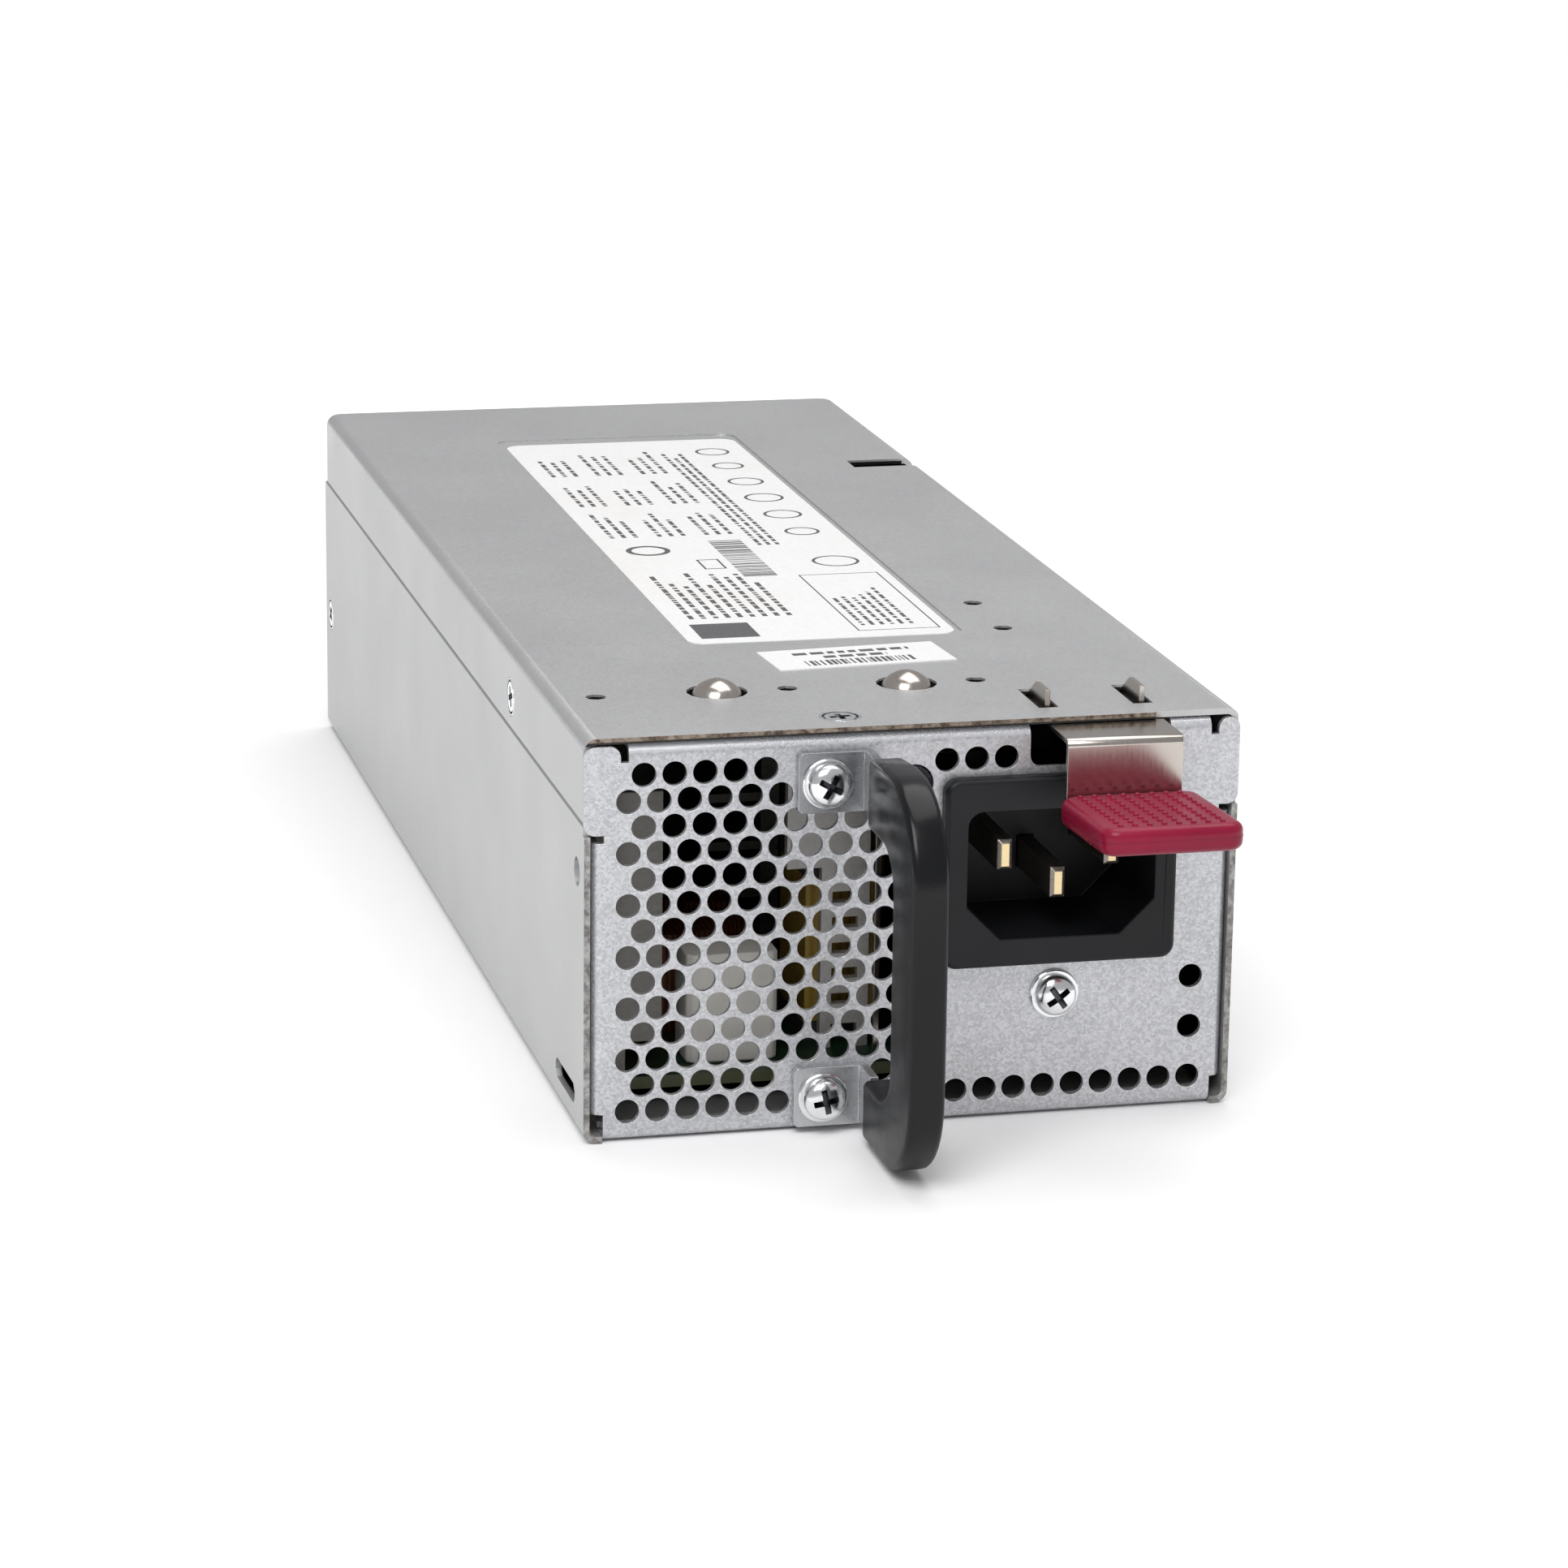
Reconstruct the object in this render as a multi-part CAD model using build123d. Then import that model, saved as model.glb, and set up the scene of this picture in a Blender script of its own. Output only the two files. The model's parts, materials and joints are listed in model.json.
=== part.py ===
from build123d import *
import math
import os

# Hot swap server power supply: a case of folded sheet metal with a perforated front, a mains inlet, a
# carrying handle and a sprung latch, and with the electronics and a fan inside.
# X runs to the right seen from the front, Y from the front panel to the rear and Z up, in millimetres.
# The pieces are drawn with Y = 0 on the outer face of the front panel and Z = 0 on the underside. The
# last step moves them by half the length, so the origin lies under the middle of the case.

# Case
WIDTH = 84.4
HEIGHT = 52.2
LENGTH = 212.5
SHEET = 0.8
BEND = 1.6
LAP = 0.1
COVER_DEPTH = 10.8
JOGGLE = 0.6
REAR_CORNER = 2.5
HALF = WIDTH / 2
STEP = SHEET + LAP
SEAM_Z = HEIGHT - COVER_DEPTH
UNDER = HEIGHT - SHEET - LAP
INSIDE = HALF - STEP

# Front panel
FOLD_DEPTH = 9.0
EAR_HEIGHT = 11.3
EAR_DROP = 1.1
EAR_TOP = HEIGHT - EAR_DROP
EAR_BOTTOM = EAR_TOP - EAR_HEIGHT
EAR_WIDTH_LEFT = 4.6
EAR_WIDTH_RIGHT = 2.8
EAR_RADIUS = 1.4
RELIEF = 1.0
RELIEF_DEPTH = 2.1
CORNER_RELIEF = 2.5
CORNER_RELIEF_HEIGHT = 3.6
LATCH_GAP_X0 = 14.7
LATCH_GAP_X1 = 33.1
LATCH_GAP_DEPTH = 6.3
LATCH_GAP_RADIUS = 1.5

# Perforation: holes on a staggered grid, each drawn with a few flats
PITCH = 3.86
ROW_PITCH = PITCH * math.sqrt(3) / 2
HOLE_RADIUS = 1.55
HOLE_FLAT_COUNT = 6
ROWS = 14
GRID_X0 = -36.63
GRID_Z0 = 3.89
GRILLE_RIGHT = 0.0
RIGHT_COLUMN_X = 36.0
RIGHT_COLUMN_Z = 9.0
RIGHT_COLUMN_TOP = 18.0

# Openings of the side walls
SIDE_HOLE_RADIUS = 1.9
SIDE_HOLE_Y = 4.5
SIDE_HOLE_Z = 34.2
SIDE_SLOT_LENGTH = 12.4
SIDE_SLOT_HEIGHT = 2.6
SIDE_SLOT_CHAMFER = 0.8
SIDE_SLOT_Y = 11.8
SIDE_SLOT_Z = 4.6

# Fasteners
SHANK = 1.45
PAN_RADIUS = 2.7
PAN_HEIGHT = 1.9
PAN_BEVEL = 0.85
SCREW_LENGTH = 6.0
WASHER_RADIUS = 3.2
WASHER = 0.6
FLAT_RADIUS = 2.6
FLAT_HEIGHT = 0.75
HEAD_FLAT_COUNT = 12
FLAT_COUNT = 8
HEX_RADIUS = 2.6
HEX_FLAT_COUNT = 6
HEX_HEIGHT = 1.8
COVER_SCREW_X = -8.6
COVER_SCREW_Y = 5.4
SIDE_SCREW_Y = 49.25
SIDE_SCREW_DROP = 6.8
SIDE_SCREW_Z = HEIGHT - SIDE_SCREW_DROP
REAR_SCREW_INSET = 4.5
REAR_SCREW_Y = LENGTH - REAR_SCREW_INSET
REAR_SCREW_Z = 19.9

# Mains inlet
INLET_X = 18.55
INLET_Z = 32.8
BEZEL_WIDTH = 30.4
BEZEL_HEIGHT = 24.6
BEZEL = 2.2
BEZEL_RADIUS = 1.8
INLET_WALL = 1.5
CAVITY_WIDTH = 24.5
CAVITY_HEIGHT = 16.7
CAVITY_Z = 32.55
CAVITY_DEPTH = 16.7
CAVITY_CHAMFER = 4.45
CAVITY_RADIUS = 2.0
INLET_FLOOR = 3.0
PIN_PITCH = 7.0
PIN_WIDTH = 2.0
PIN_HEIGHT = 4.0
PIN_RECESS = 1.5
PIN_TIP = 0.5
EARTH_DROP = 4.0
EARTH_SCREW_GAP = 1.2
LINE_PIN_RISE = 2.0
LINE_PIN_Z = INLET_Z + LINE_PIN_RISE
TAB_LENGTH = 7.0
TAB_THICKNESS = 0.8
BEZEL_CHAMFER = 0.4

# Handle and its brackets
HANDLE_X = -5.7
HANDLE_WIDTH = 4.6
HANDLE_REACH = 29.0
HANDLE_BACK = 6.3
HANDLE_BOTTOM = 0.25
HANDLE_DROP = 2.8
HANDLE_TOP = HEIGHT - HANDLE_DROP
GRIP_DEPTH = 10.0
ARM_HEIGHT = 8.1
ARM_SLOPE = 1.0
HANDLE_RADIUS = 12.0
GAP_RADIUS = 5.5
HANDLE_EDGE = 0.8
BRACKET = 1.2
PLATE_WIDTH = 8.5
PLATE_HEIGHT = 7.8
PLATE_CHAMFER = 0.5
TONGUE_LENGTH = 7.0
TONGUE_HEIGHT = 5.0
BRACKET_SCREW_INSET = 4.8
BRACKET_RISE = 4.35
BRACKET_DROP = 3.9

# Sprung latch
LATCH_X = 24.6
LATCH_WIDTH = 15.0
BLADE = 0.7
LATCH_BEND = 1.0
LATCH_FRONT = 8.0
LATCH_HINGE_Y = 42.7
ANCHOR_LENGTH = 25.0
ANCHOR_INSET = 5.0
TOOTH_SPACING = 12.4
TOOTH_RISE = 2.1
TOOTH_FRONT = 5.5
TOOTH_FLAT = 4.6
TOOTH_SLOPE = 4.6
SLOT_WIDTH = 2.6
SLOT_FRONT = 4.9
SLOT_LENGTH = 9.8
GRIP_WIDTH = 18.0
GRIP_LENGTH = 16.5
GRIP_THICKNESS = 3.2
GRIP_DROP = 7.3
GRIP_TOP = UNDER - GRIP_DROP
GRIP_EDGE = 0.7
GRIP_CORNER = 1.5
GRIP_TONGUE = 9.0
ANCHOR_HOLE_RADIUS = 1.35

# Domed contact springs under the cover
DOME_Y = 20.6
DOME_RADIUS = 3.3
DOME_RISE = 1.75
DOME_FLAT_COUNT = 16
DOME_HOLE_RADIUS = 3.88
CONTACT_SHEET = 0.4
CONTACT_EDGE = 5.6
CONTACT_MARGIN = 9.7
CONTACT_BAYS = 3
CONTACT_HOLE_OFFSET = 15.7
CONTACT_PITCH = (WIDTH - CONTACT_MARGIN) / CONTACT_BAYS
DOME_LEFT = CONTACT_EDGE + CONTACT_HOLE_OFFSET - HALF
DOME_X = (DOME_LEFT, DOME_LEFT + CONTACT_PITCH)
CONTACT_WIDTH = 9.6
FINGER_WIDTH = 7.4
FINGER_ROOT = 12.5
FINGER_TIP = 4.6
FINGER_GAP = 0.25
CONTACT_END = 2.9

# Top of the cover
KEY_SLOT_X = 31.5
KEY_SLOT_Y = 157.7
KEY_SLOT_WIDTH = 5.2
KEY_SLOT_DEPTH = 2.6
FRONT_STEP_X = 31.0
FRONT_STEP = 0.5
REAR_FLANGE = 4.6
LABEL_WIDTH = 36.6
LABEL_LENGTH = 134.5
LABEL_Y = 113.75
LABEL_X = -0.25
LABEL_RADIUS = 2.5
LABEL_THICKNESS = 0.15
LABEL_RECESS = 0.25
LABEL_MARGIN = 0.85
LABEL_TAIL = 3.7
SMALL_LABEL = (24.2, 10.2)
SMALL_LABEL_PLACE = (1.2, 35.5)
SMALL_LABEL_TURN = 4.4

# Status light
LED_X = -0.3
LED_DROP = 6.6
LED_Z = EAR_TOP - LED_DROP
LED_RADIUS = 2.4
LED_PROUD = 0.5
LED_LENGTH = 9.0
LEG = 0.6
LEG_RUN = 3.5

# Main board
BOARD = 1.6
BOARD_Z = 4.2
BOARD_TOP = BOARD_Z + BOARD
BOARD_FRONT = 7.5
BOARD_SIDE_GAP = 0.8
BOARD_HALF = INSIDE - STEP - BOARD_SIDE_GAP
BOARD_REAR_GAP = 6.0
BOARD_REAR = LENGTH - BOARD_REAR_GAP
TONGUE_X0 = 4.0
TONGUE_X1 = 38.0
TONGUE_REACH = 9.0
TONGUE_CHAMFER = 1.0
CONTACT_SETBACK = 1.0
CONTACT_COUNT = 12
CONTACT_LENGTH = 7.0
CONTACT_SHARE = 0.7
CONTACT_FILM = 0.12
STANDOFF_RADIUS = 2.6
STANDOFF_INSET = 4.6
STANDOFF_X = BOARD_HALF - STANDOFF_INSET
STANDOFF_FRONT = 24.0
STANDOFF_MIDDLE = 97.5
STANDOFF_REAR_GAP = 30.0
STANDOFF_REAR = BOARD_REAR - STANDOFF_REAR_GAP
FILM = 0.25

# Fan at the rear
FAN_LID_GAP = 3.7
FAN_BOARD_GAP = 1.8
FAN_WALL_GAP = 0.2
FAN = UNDER - BOARD_TOP - FAN_LID_GAP - FAN_BOARD_GAP
FAN_DEPTH = 28.0
FAN_FRONT = LENGTH - STEP - SHEET - FAN_DEPTH
FAN_X = FAN_WALL_GAP + FAN / 2 - BOARD_HALF
FAN_Z = BOARD_TOP + FAN_BOARD_GAP + FAN / 2
FAN_RIM = 1.1
FAN_BORE = FAN / 2 - FAN_RIM
BORE_FLAT_COUNT = 16
FAN_TUBE_WALL = 1.0
FAN_FLANGE = 3.6
FAN_HOLE_INSET = 4.0
FAN_HOLE_PITCH = FAN - 2 * FAN_HOLE_INSET
FAN_CORNER = 1.6
HUB_RADIUS = 9.3
HUB_WALL = 1.1
BLADES = 7
BLADE_CLEARANCE = 0.7
BLADE_THICKNESS = 0.9
BLADE_CHORD = 15.0
BLADE_ANGLE = 42.0
FAN_SHAFT = 1.5
BEARING_WALL = 1.2
BEARING_CLEARANCE = 0.05
STATOR = 3.0
STRUT_WIDTH = 2.2
FAN_END_GAP = 1.4
GUARD_CELL = 6.4
GUARD_WEB = 1.2

# Components on the board: sizes are (width, depth, height) and places (x, y)
FILTER_CAPACITOR = (12.0, 8.0, 14.5)
CAPACITOR_CHAMFER = 0.8
SINK_SHEET = 1.5
SINK_LOW = 10.0
SINK_LID_GAP = 4.3
SINK_TOP = UNDER - SINK_LID_GAP
SINK_FOOT = 4.0
SINK_EDGE_GAP = 0.6
SINK_FRONT_GAP = 1.3
FILTER_SINK_WIDTH = 8.7
FILTER_SINK_DEPTH = 21.2
FILTER_SINK_X = SINK_EDGE_GAP - BOARD_HALF
FILTER_SINK_Y = BOARD_FRONT + SINK_FRONT_GAP
FILTER_CAPACITOR_GAP = 3.7
CAPACITOR_SETBACK = 6.2
FILTER_CAPACITOR_AT = (
    FILTER_SINK_X + FILTER_SINK_WIDTH + FILTER_CAPACITOR_GAP + FILTER_CAPACITOR[0] / 2,
    FILTER_SINK_Y + CAPACITOR_SETBACK,
)
SLOTTED_SINK_X = (-13.0, -2.0)
SLOTTED_SINK_Y = 14.2
SLOTTED_LID_GAP = 9.3
SLOTTED_SINK_Z = (9.0, UNDER - SLOTTED_LID_GAP)
SLOTTED_SHOULDER = 30.0
SLOTTED_NECK = -8.4
SINK_SLOTS = 5
SINK_SLOT = 1.4
SINK_SLOT_PITCH = 3.4
FILTER_CHOKE = (10.0, 14.0, 24.2)
FILTER_CHOKE_AT = (-4.6, 25.0)
LINE_CHOKE = (18.0, 14.0, 22.0)
LINE_CHOKE_AT = (18.5, 44.0)
FLANGE = 2.4
BOOST_CHOKE_RADIUS = 12.0
BOOST_EDGE_GAP = 2.6
BOOST_CHOKE_AT = (BOOST_CHOKE_RADIUS + BOOST_EDGE_GAP - BOARD_HALF, 37.0)
OUTPUT_CHOKE_RADIUS = 10.0
OUTPUT_CHOKE_EDGE_GAP = 6.6
OUTPUT_CHOKE_FAN_GAP = 12.8
OUTPUT_CHOKE_AT = (
    BOARD_HALF - OUTPUT_CHOKE_EDGE_GAP - OUTPUT_CHOKE_RADIUS,
    FAN_FRONT - OUTPUT_CHOKE_FAN_GAP - OUTPUT_CHOKE_RADIUS,
)
RING_BORE = 0.4
RING_HEIGHT = 13.0
RING_PARTING = 4.0
RING_FLAT_COUNT = 12
WINDING = 1.6
BULK_RADIUS = 11.3
BULK_LID_GAP = 5.5
BULK_EDGE_GAP = 1.3
BULK_HEIGHT = UNDER - BULK_LID_GAP - BOARD_TOP
BULK_X = BULK_RADIUS + BULK_EDGE_GAP - BOARD_HALF
BULK_Y = (61.5, 85.5)
OUTPUT_RADIUS = 5.0
OUTPUT_HEIGHT = 22.0
SINK_PLATE = 2.5
FINS = 5
FIN_LENGTH = 8.0
FIN_THICKNESS = 1.2
FIN_LID_GAP = 7.3
FIN_TOP = UNDER - FIN_LID_GAP
FIN_GAP = 2.2
SINK_FACE_X = BULK_X + BULK_RADIUS + FIN_GAP + FIN_LENGTH + SINK_PLATE
SINK_FAN_GAP = 10.8
SECONDARY_SINK_LENGTH = 44.0
SECONDARY_SINK_Y = (FAN_FRONT - SINK_FAN_GAP - SECONDARY_SINK_LENGTH, FAN_FRONT - SINK_FAN_GAP)
SINK_SPACE = 10.0
PRIMARY_SINK_Y = (60.0, SECONDARY_SINK_Y[0] - SINK_SPACE)
TRANSISTOR = (5.0, 15.6, 20.0)
TRANSISTOR_PLACES = (12.0, 32.0)
TRANSISTOR_LEG = 1.2
TRANSISTOR_PITCH = 5.4
TRANSISTOR_AIR = 4.5
TRANSFORMER_EDGE_GAP = 1.1
TRANSFORMER_X0 = SINK_FACE_X + TRANSISTOR[0] + TRANSISTOR_AIR
TRANSFORMER_X1 = BOARD_HALF - TRANSFORMER_EDGE_GAP
TRANSFORMER = (TRANSFORMER_X1 - TRANSFORMER_X0, 24.0, 28.0)
TRANSFORMER_AT = ((TRANSFORMER_X0 + TRANSFORMER_X1) / 2, 82.0)
OUTPUT_PITCH = 11.0
OUTPUT_ROW_PITCH = 12.0
OUTPUT_FLAT_COUNT = 8
OUTPUT_EDGE_GAP = 0.6
OUTPUT_X0 = SINK_FACE_X + TRANSISTOR[0] + TRANSISTOR_AIR + OUTPUT_RADIUS
OUTPUT_X1 = BOARD_HALF - OUTPUT_EDGE_GAP - OUTPUT_RADIUS
OUTPUT_COLUMNS = int((OUTPUT_X1 - OUTPUT_X0) / OUTPUT_PITCH) + 1
OUTPUT_Y = SECONDARY_SINK_Y[0]
CORE_LEG = 4.0
WINDING_BULGE = 3.0
CONTROL_BOARD = (1.6, 40.0, 30.0)
CONTROL_BOARD_GAP = 3.7
CONTROL_BOARD_SETBACK = 7.0
CONTROL_BOARD_AT = (
    SINK_FACE_X - SINK_PLATE - FIN_LENGTH - CONTROL_BOARD_GAP - CONTROL_BOARD[0] / 2,
    SECONDARY_SINK_Y[1] - CONTROL_BOARD_SETBACK - CONTROL_BOARD[1] / 2,
)


# Drawing helpers
def along_x(sketch, x0, x1):
    """Solid of a sketch drawn in (Y, Z), from x0 to x1."""
    return extrude(Plane.YZ.offset(x0) * sketch, x1 - x0)


def along_y(sketch, y0, y1):
    """Solid of a sketch drawn in (X, Z), from y0 to y1."""
    return extrude(Plane.XZ.offset(-y1) * sketch, y1 - y0)


def along_z(sketch, z0, z1):
    """Solid of a sketch drawn in (X, Y), from z0 to z1."""
    return extrude(Plane.XY.offset(z0) * sketch, z1 - z0)


def outline(*points):
    return make_face(Polyline(*points, close=True))


def block(x0, x1, y0, y1, z0, z1):
    middle = Pos((x0 + x1) / 2, (y0 + y1) / 2, (z0 + z1) / 2)
    return middle * Box(x1 - x0, y1 - y0, z1 - z0)


def mirrored(shape):
    return shape + mirror(shape, Plane.YZ)


def both_sides(shape):
    return [shape, mirror(shape, Plane.YZ)]


# Fasteners, drawn with the head's seat at Z = 0 and the shank pointing down; rounds have flats
def small_hole():
    """Clearance hole for a screw's shank."""
    return RegularPolygon(SHANK + LAP, FLAT_COUNT)


def shank(length):
    return extrude(RegularPolygon(SHANK, FLAT_COUNT), -length)


def pan_screw(length):
    """Screw with a bevelled round head."""
    head = extrude(RegularPolygon(PAN_RADIUS, HEAD_FLAT_COUNT), PAN_HEIGHT)
    head = chamfer(head.edges().group_by(Axis.Z)[-1], PAN_BEVEL)
    return head + shank(length)


def hex_screw(length):
    return extrude(RegularPolygon(HEX_RADIUS, HEX_FLAT_COUNT), HEX_HEIGHT) + shank(length)


def tapered(radius, height):
    """Countersunk form under Z = 0, with a thin rim."""
    head = extrude(RegularPolygon(radius, HEAD_FLAT_COUNT), -height)
    return chamfer(head.edges().group_by(Axis.Z)[0], height - LAP)


def flat_screw(length):
    """Screw with a countersunk head, flush with the sheet."""
    return tapered(FLAT_RADIUS, FLAT_HEIGHT) + shank(length)


def flat_seat():
    """Countersink and hole that a flat screw sits in."""
    return tapered(FLAT_RADIUS + LAP, FLAT_HEIGHT) + extrude(small_hole(), -3 * SHEET)


def washer():
    return extrude(RegularPolygon(WASHER_RADIUS, HEAD_FLAT_COUNT) - small_hole(), WASHER)


def facing_front(x, y, z):
    return Pos(x, y, z) * Rot(90, 0, 0)


def facing_left(y, z, x=-HALF):
    return Pos(x, y, z) * Rot(0, -90, 0)


def facing_up(x, y, z=HEIGHT):
    return Pos(x, y, z)


# Case
def wall_openings():
    """Round hole and slot near the front of both side walls."""
    inside = 3 * SHEET - HALF
    hole = Pos(SIDE_HOLE_Y, SIDE_HOLE_Z) * RegularPolygon(SIDE_HOLE_RADIUS, HEAD_FLAT_COUNT)
    slot = Pos(SIDE_SLOT_Y, SIDE_SLOT_Z) * chamfer(
        Rectangle(SIDE_SLOT_LENGTH, SIDE_SLOT_HEIGHT).vertices(), SIDE_SLOT_CHAMFER
    )
    return mirrored(along_x(hole, -HALF - 1, inside) + along_x(slot, -HALF - 1, inside))


def chassis_tray():
    """Floor and side walls in one fold; the walls step in under the cover's sides."""
    top = UNDER - 4 * LAP
    wall = [(-INSIDE, top), (-INSIDE, SEAM_Z), (-HALF, SEAM_Z - JOGGLE), (-HALF, 0)]
    inner = [
        (-INSIDE + SHEET, top), (-INSIDE + SHEET, SEAM_Z - JOGGLE),
        (-HALF + SHEET, SEAM_Z - 2 * JOGGLE), (-HALF + SHEET, SHEET),
    ]
    half_profile = outline(*wall, (0, 0), (0, SHEET), *reversed(inner))
    tray = along_y(half_profile + mirror(half_profile, Plane.YZ), 0, LENGTH)
    lower = [e for e in tray.edges().filter_by(Axis.Y) if abs(e.center().X) > HALF - SHEET - LAP]
    tray = fillet([e for e in lower if e.center().Z < LAP], BEND)
    inner = [
        e for e in tray.edges().filter_by(Axis.Y)
        if abs(abs(e.center().X) - HALF + SHEET) < LAP and abs(e.center().Z - SHEET) < LAP
    ]
    tray = fillet(inner, BEND - SHEET)
    # The walls stand back behind the front panel's ears and end before the cover's rear corners
    tray -= block(-WIDTH, WIDTH, -1, STEP, EAR_BOTTOM - LAP, HEIGHT)
    tray -= block(-WIDTH, WIDTH, LENGTH - REAR_CORNER - STEP, LENGTH + 1, SEAM_Z - LAP, HEIGHT)
    tray -= front_lap_cut()
    tray += front_lap_tongue()
    tray -= wall_openings()
    tray -= mirrored(facing_left(REAR_SCREW_Y, REAR_SCREW_Z) * flat_seat())
    return tray - mirrored(facing_left(SIDE_SCREW_Y, SIDE_SCREW_Z) * extrude(small_hole(), -4 * SHEET))


def floor_lap():
    """Half width and length of the step in the floor that takes the front panel's lower fold."""
    return HALF - CORNER_RELIEF + LAP, FOLD_DEPTH + 3 * SHEET


def front_lap_cut():
    half_width, length = floor_lap()
    return block(-half_width, half_width, -1, length + JOGGLE, -1, SHEET)


def front_lap_tongue():
    """The floor rises by one sheet at the front, so the front panel's fold lies flush below it."""
    half_width, length = floor_lap()
    low, high = STEP, STEP + SHEET
    step = outline(
        (2 * BEND, low),
        (2 * BEND, high),
        (length, high),
        (length + JOGGLE, SHEET),
        (length + JOGGLE, 0),
        (length + JOGGLE / 2, 0),
        (length - JOGGLE / 2, low),
    )
    return along_x(step, -half_width, half_width)


def rounded_lid():
    """Outside of the cover, with its long top edges and its rear edges rounded as folds are."""
    box = block(-HALF, HALF, 0, LENGTH, SEAM_Z, HEIGHT)
    box = fillet(box.edges().filter_by(Axis.Z).group_by(Axis.Y)[-1], REAR_CORNER)
    top = [e for e in box.edges().group_by(Axis.Z)[-1] if e.center().Y > LAP]
    return fillet(top, BEND)


def lid_inside():
    box = block(-HALF + SHEET, HALF - SHEET, -1, LENGTH - SHEET, SEAM_Z - 1, HEIGHT - SHEET)
    box = chamfer(box.edges().filter_by(Axis.Z).group_by(Axis.Y)[-1], REAR_CORNER / 2)
    return fillet(box.edges().filter_by(Axis.Y).group_by(Axis.Z)[-1], BEND - SHEET)


def top_cover():
    """Lid with sides and a rear edge folded down."""
    cover = rounded_lid() - lid_inside()
    cover -= block(-INSIDE + BEND, INSIDE - BEND, LENGTH - REAR_CORNER, LENGTH + 1, 0, HEIGHT - REAR_FLANGE)
    # Behind the front panel's ears only the top sheet comes forward
    cover -= block(-WIDTH, WIDTH, -1, STEP, 0, EAR_TOP + LAP)
    cover -= block(FRONT_STEP_X, WIDTH, -1, FRONT_STEP, 0, HEIGHT + 1)
    recess = RectangleRounded(
        LABEL_WIDTH + 2 * LABEL_MARGIN, LABEL_LENGTH + LABEL_MARGIN + LABEL_TAIL, LABEL_RADIUS
    )
    recess_y = LABEL_Y + (LABEL_TAIL - LABEL_MARGIN) / 2
    cover -= along_z(Pos(LABEL_X, recess_y) * recess, HEIGHT - LABEL_RECESS, HEIGHT + 1)
    cover -= along_z(cover_holes(), SEAM_Z, HEIGHT + 1)
    cover -= block(
        KEY_SLOT_X, WIDTH, KEY_SLOT_Y - KEY_SLOT_WIDTH / 2, KEY_SLOT_Y + KEY_SLOT_WIDTH / 2,
        HEIGHT - KEY_SLOT_DEPTH, HEIGHT + 1,
    )
    cover -= facing_up(COVER_SCREW_X, COVER_SCREW_Y) * flat_seat()
    cover -= mirrored(facing_left(SIDE_SCREW_Y, SIDE_SCREW_Z) * flat_seat())
    return cover


def cover_holes():
    """Openings of the cover: domes, latch teeth and the small holes over the springs' fixings."""
    holes = Sketch()
    for x in DOME_X:
        holes += Pos(x, DOME_Y) * RegularPolygon(DOME_HOLE_RADIUS, DOME_FLAT_COUNT, major_radius=False)
    for x in anchor_hole_places():
        holes += Pos(x, DOME_Y) * RegularPolygon(ANCHOR_HOLE_RADIUS, FLAT_COUNT)
    for y in latch_anchor_places():
        holes += Pos(LATCH_X, y) * RegularPolygon(ANCHOR_HOLE_RADIUS, FLAT_COUNT)
    for x in tooth_places():
        holes += Pos(x, SLOT_FRONT + SLOT_LENGTH / 2) * Rectangle(SLOT_WIDTH, SLOT_LENGTH)
    return holes


def anchor_hole_places():
    first = DOME_X[0] - CONTACT_HOLE_OFFSET
    return [first + i * CONTACT_PITCH for i in range(len(DOME_X) + 1)]


def latch_anchor_places():
    return [LATCH_HINGE_Y + ANCHOR_INSET, LATCH_HINGE_Y + ANCHOR_LENGTH - ANCHOR_INSET]


def tooth_places():
    return [LATCH_X - TOOTH_SPACING / 2, LATCH_X + TOOTH_SPACING / 2]


def grid():
    """Centres of the staggered grid over the front panel, as (x, z)."""
    columns = int(WIDTH / PITCH)
    for row in range(ROWS):
        shift = PITCH / 2 if row % 2 else 0
        for column in range(columns):
            yield GRID_X0 + column * PITCH + shift, GRID_Z0 + row * ROW_PITCH


def under_bracket(x, z):
    left = HANDLE_X - PLATE_WIDTH - PITCH / 2
    right = HANDLE_X + HOLE_RADIUS
    centres = [place[1] for place in bracket_places()]
    return left < x < right and any(abs(z - c) < PLATE_HEIGHT / 2 for c in centres)


def beside_inlet(x, z):
    """Top row, bottom row and the short column to the right of the inlet."""
    top_row = z > INLET_Z + BEZEL_HEIGHT / 2 and LED_X + PITCH < x < LATCH_GAP_X0 - HOLE_RADIUS
    bottom_row = z < GRID_Z0 + ROW_PITCH / 2 and x < HALF - CORNER_RELIEF - HOLE_RADIUS
    column = RIGHT_COLUMN_X < x < HALF - PITCH and RIGHT_COLUMN_Z < z < RIGHT_COLUMN_TOP
    return top_row or bottom_row or column


def perforation():
    hole = Rot(0, 0, 180 / HOLE_FLAT_COUNT) * RegularPolygon(HOLE_RADIUS, HOLE_FLAT_COUNT, major_radius=False)
    places = [
        (x, z) for x, z in grid()
        if (x < GRILLE_RIGHT or beside_inlet(x, z)) and not under_bracket(x, z)
        and not math.hypot(x - LED_X, z - LED_Z) < LED_RADIUS + HOLE_RADIUS + RELIEF
    ]
    return Sketch() + [Pos(x, z) * hole for x, z in places]


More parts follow.
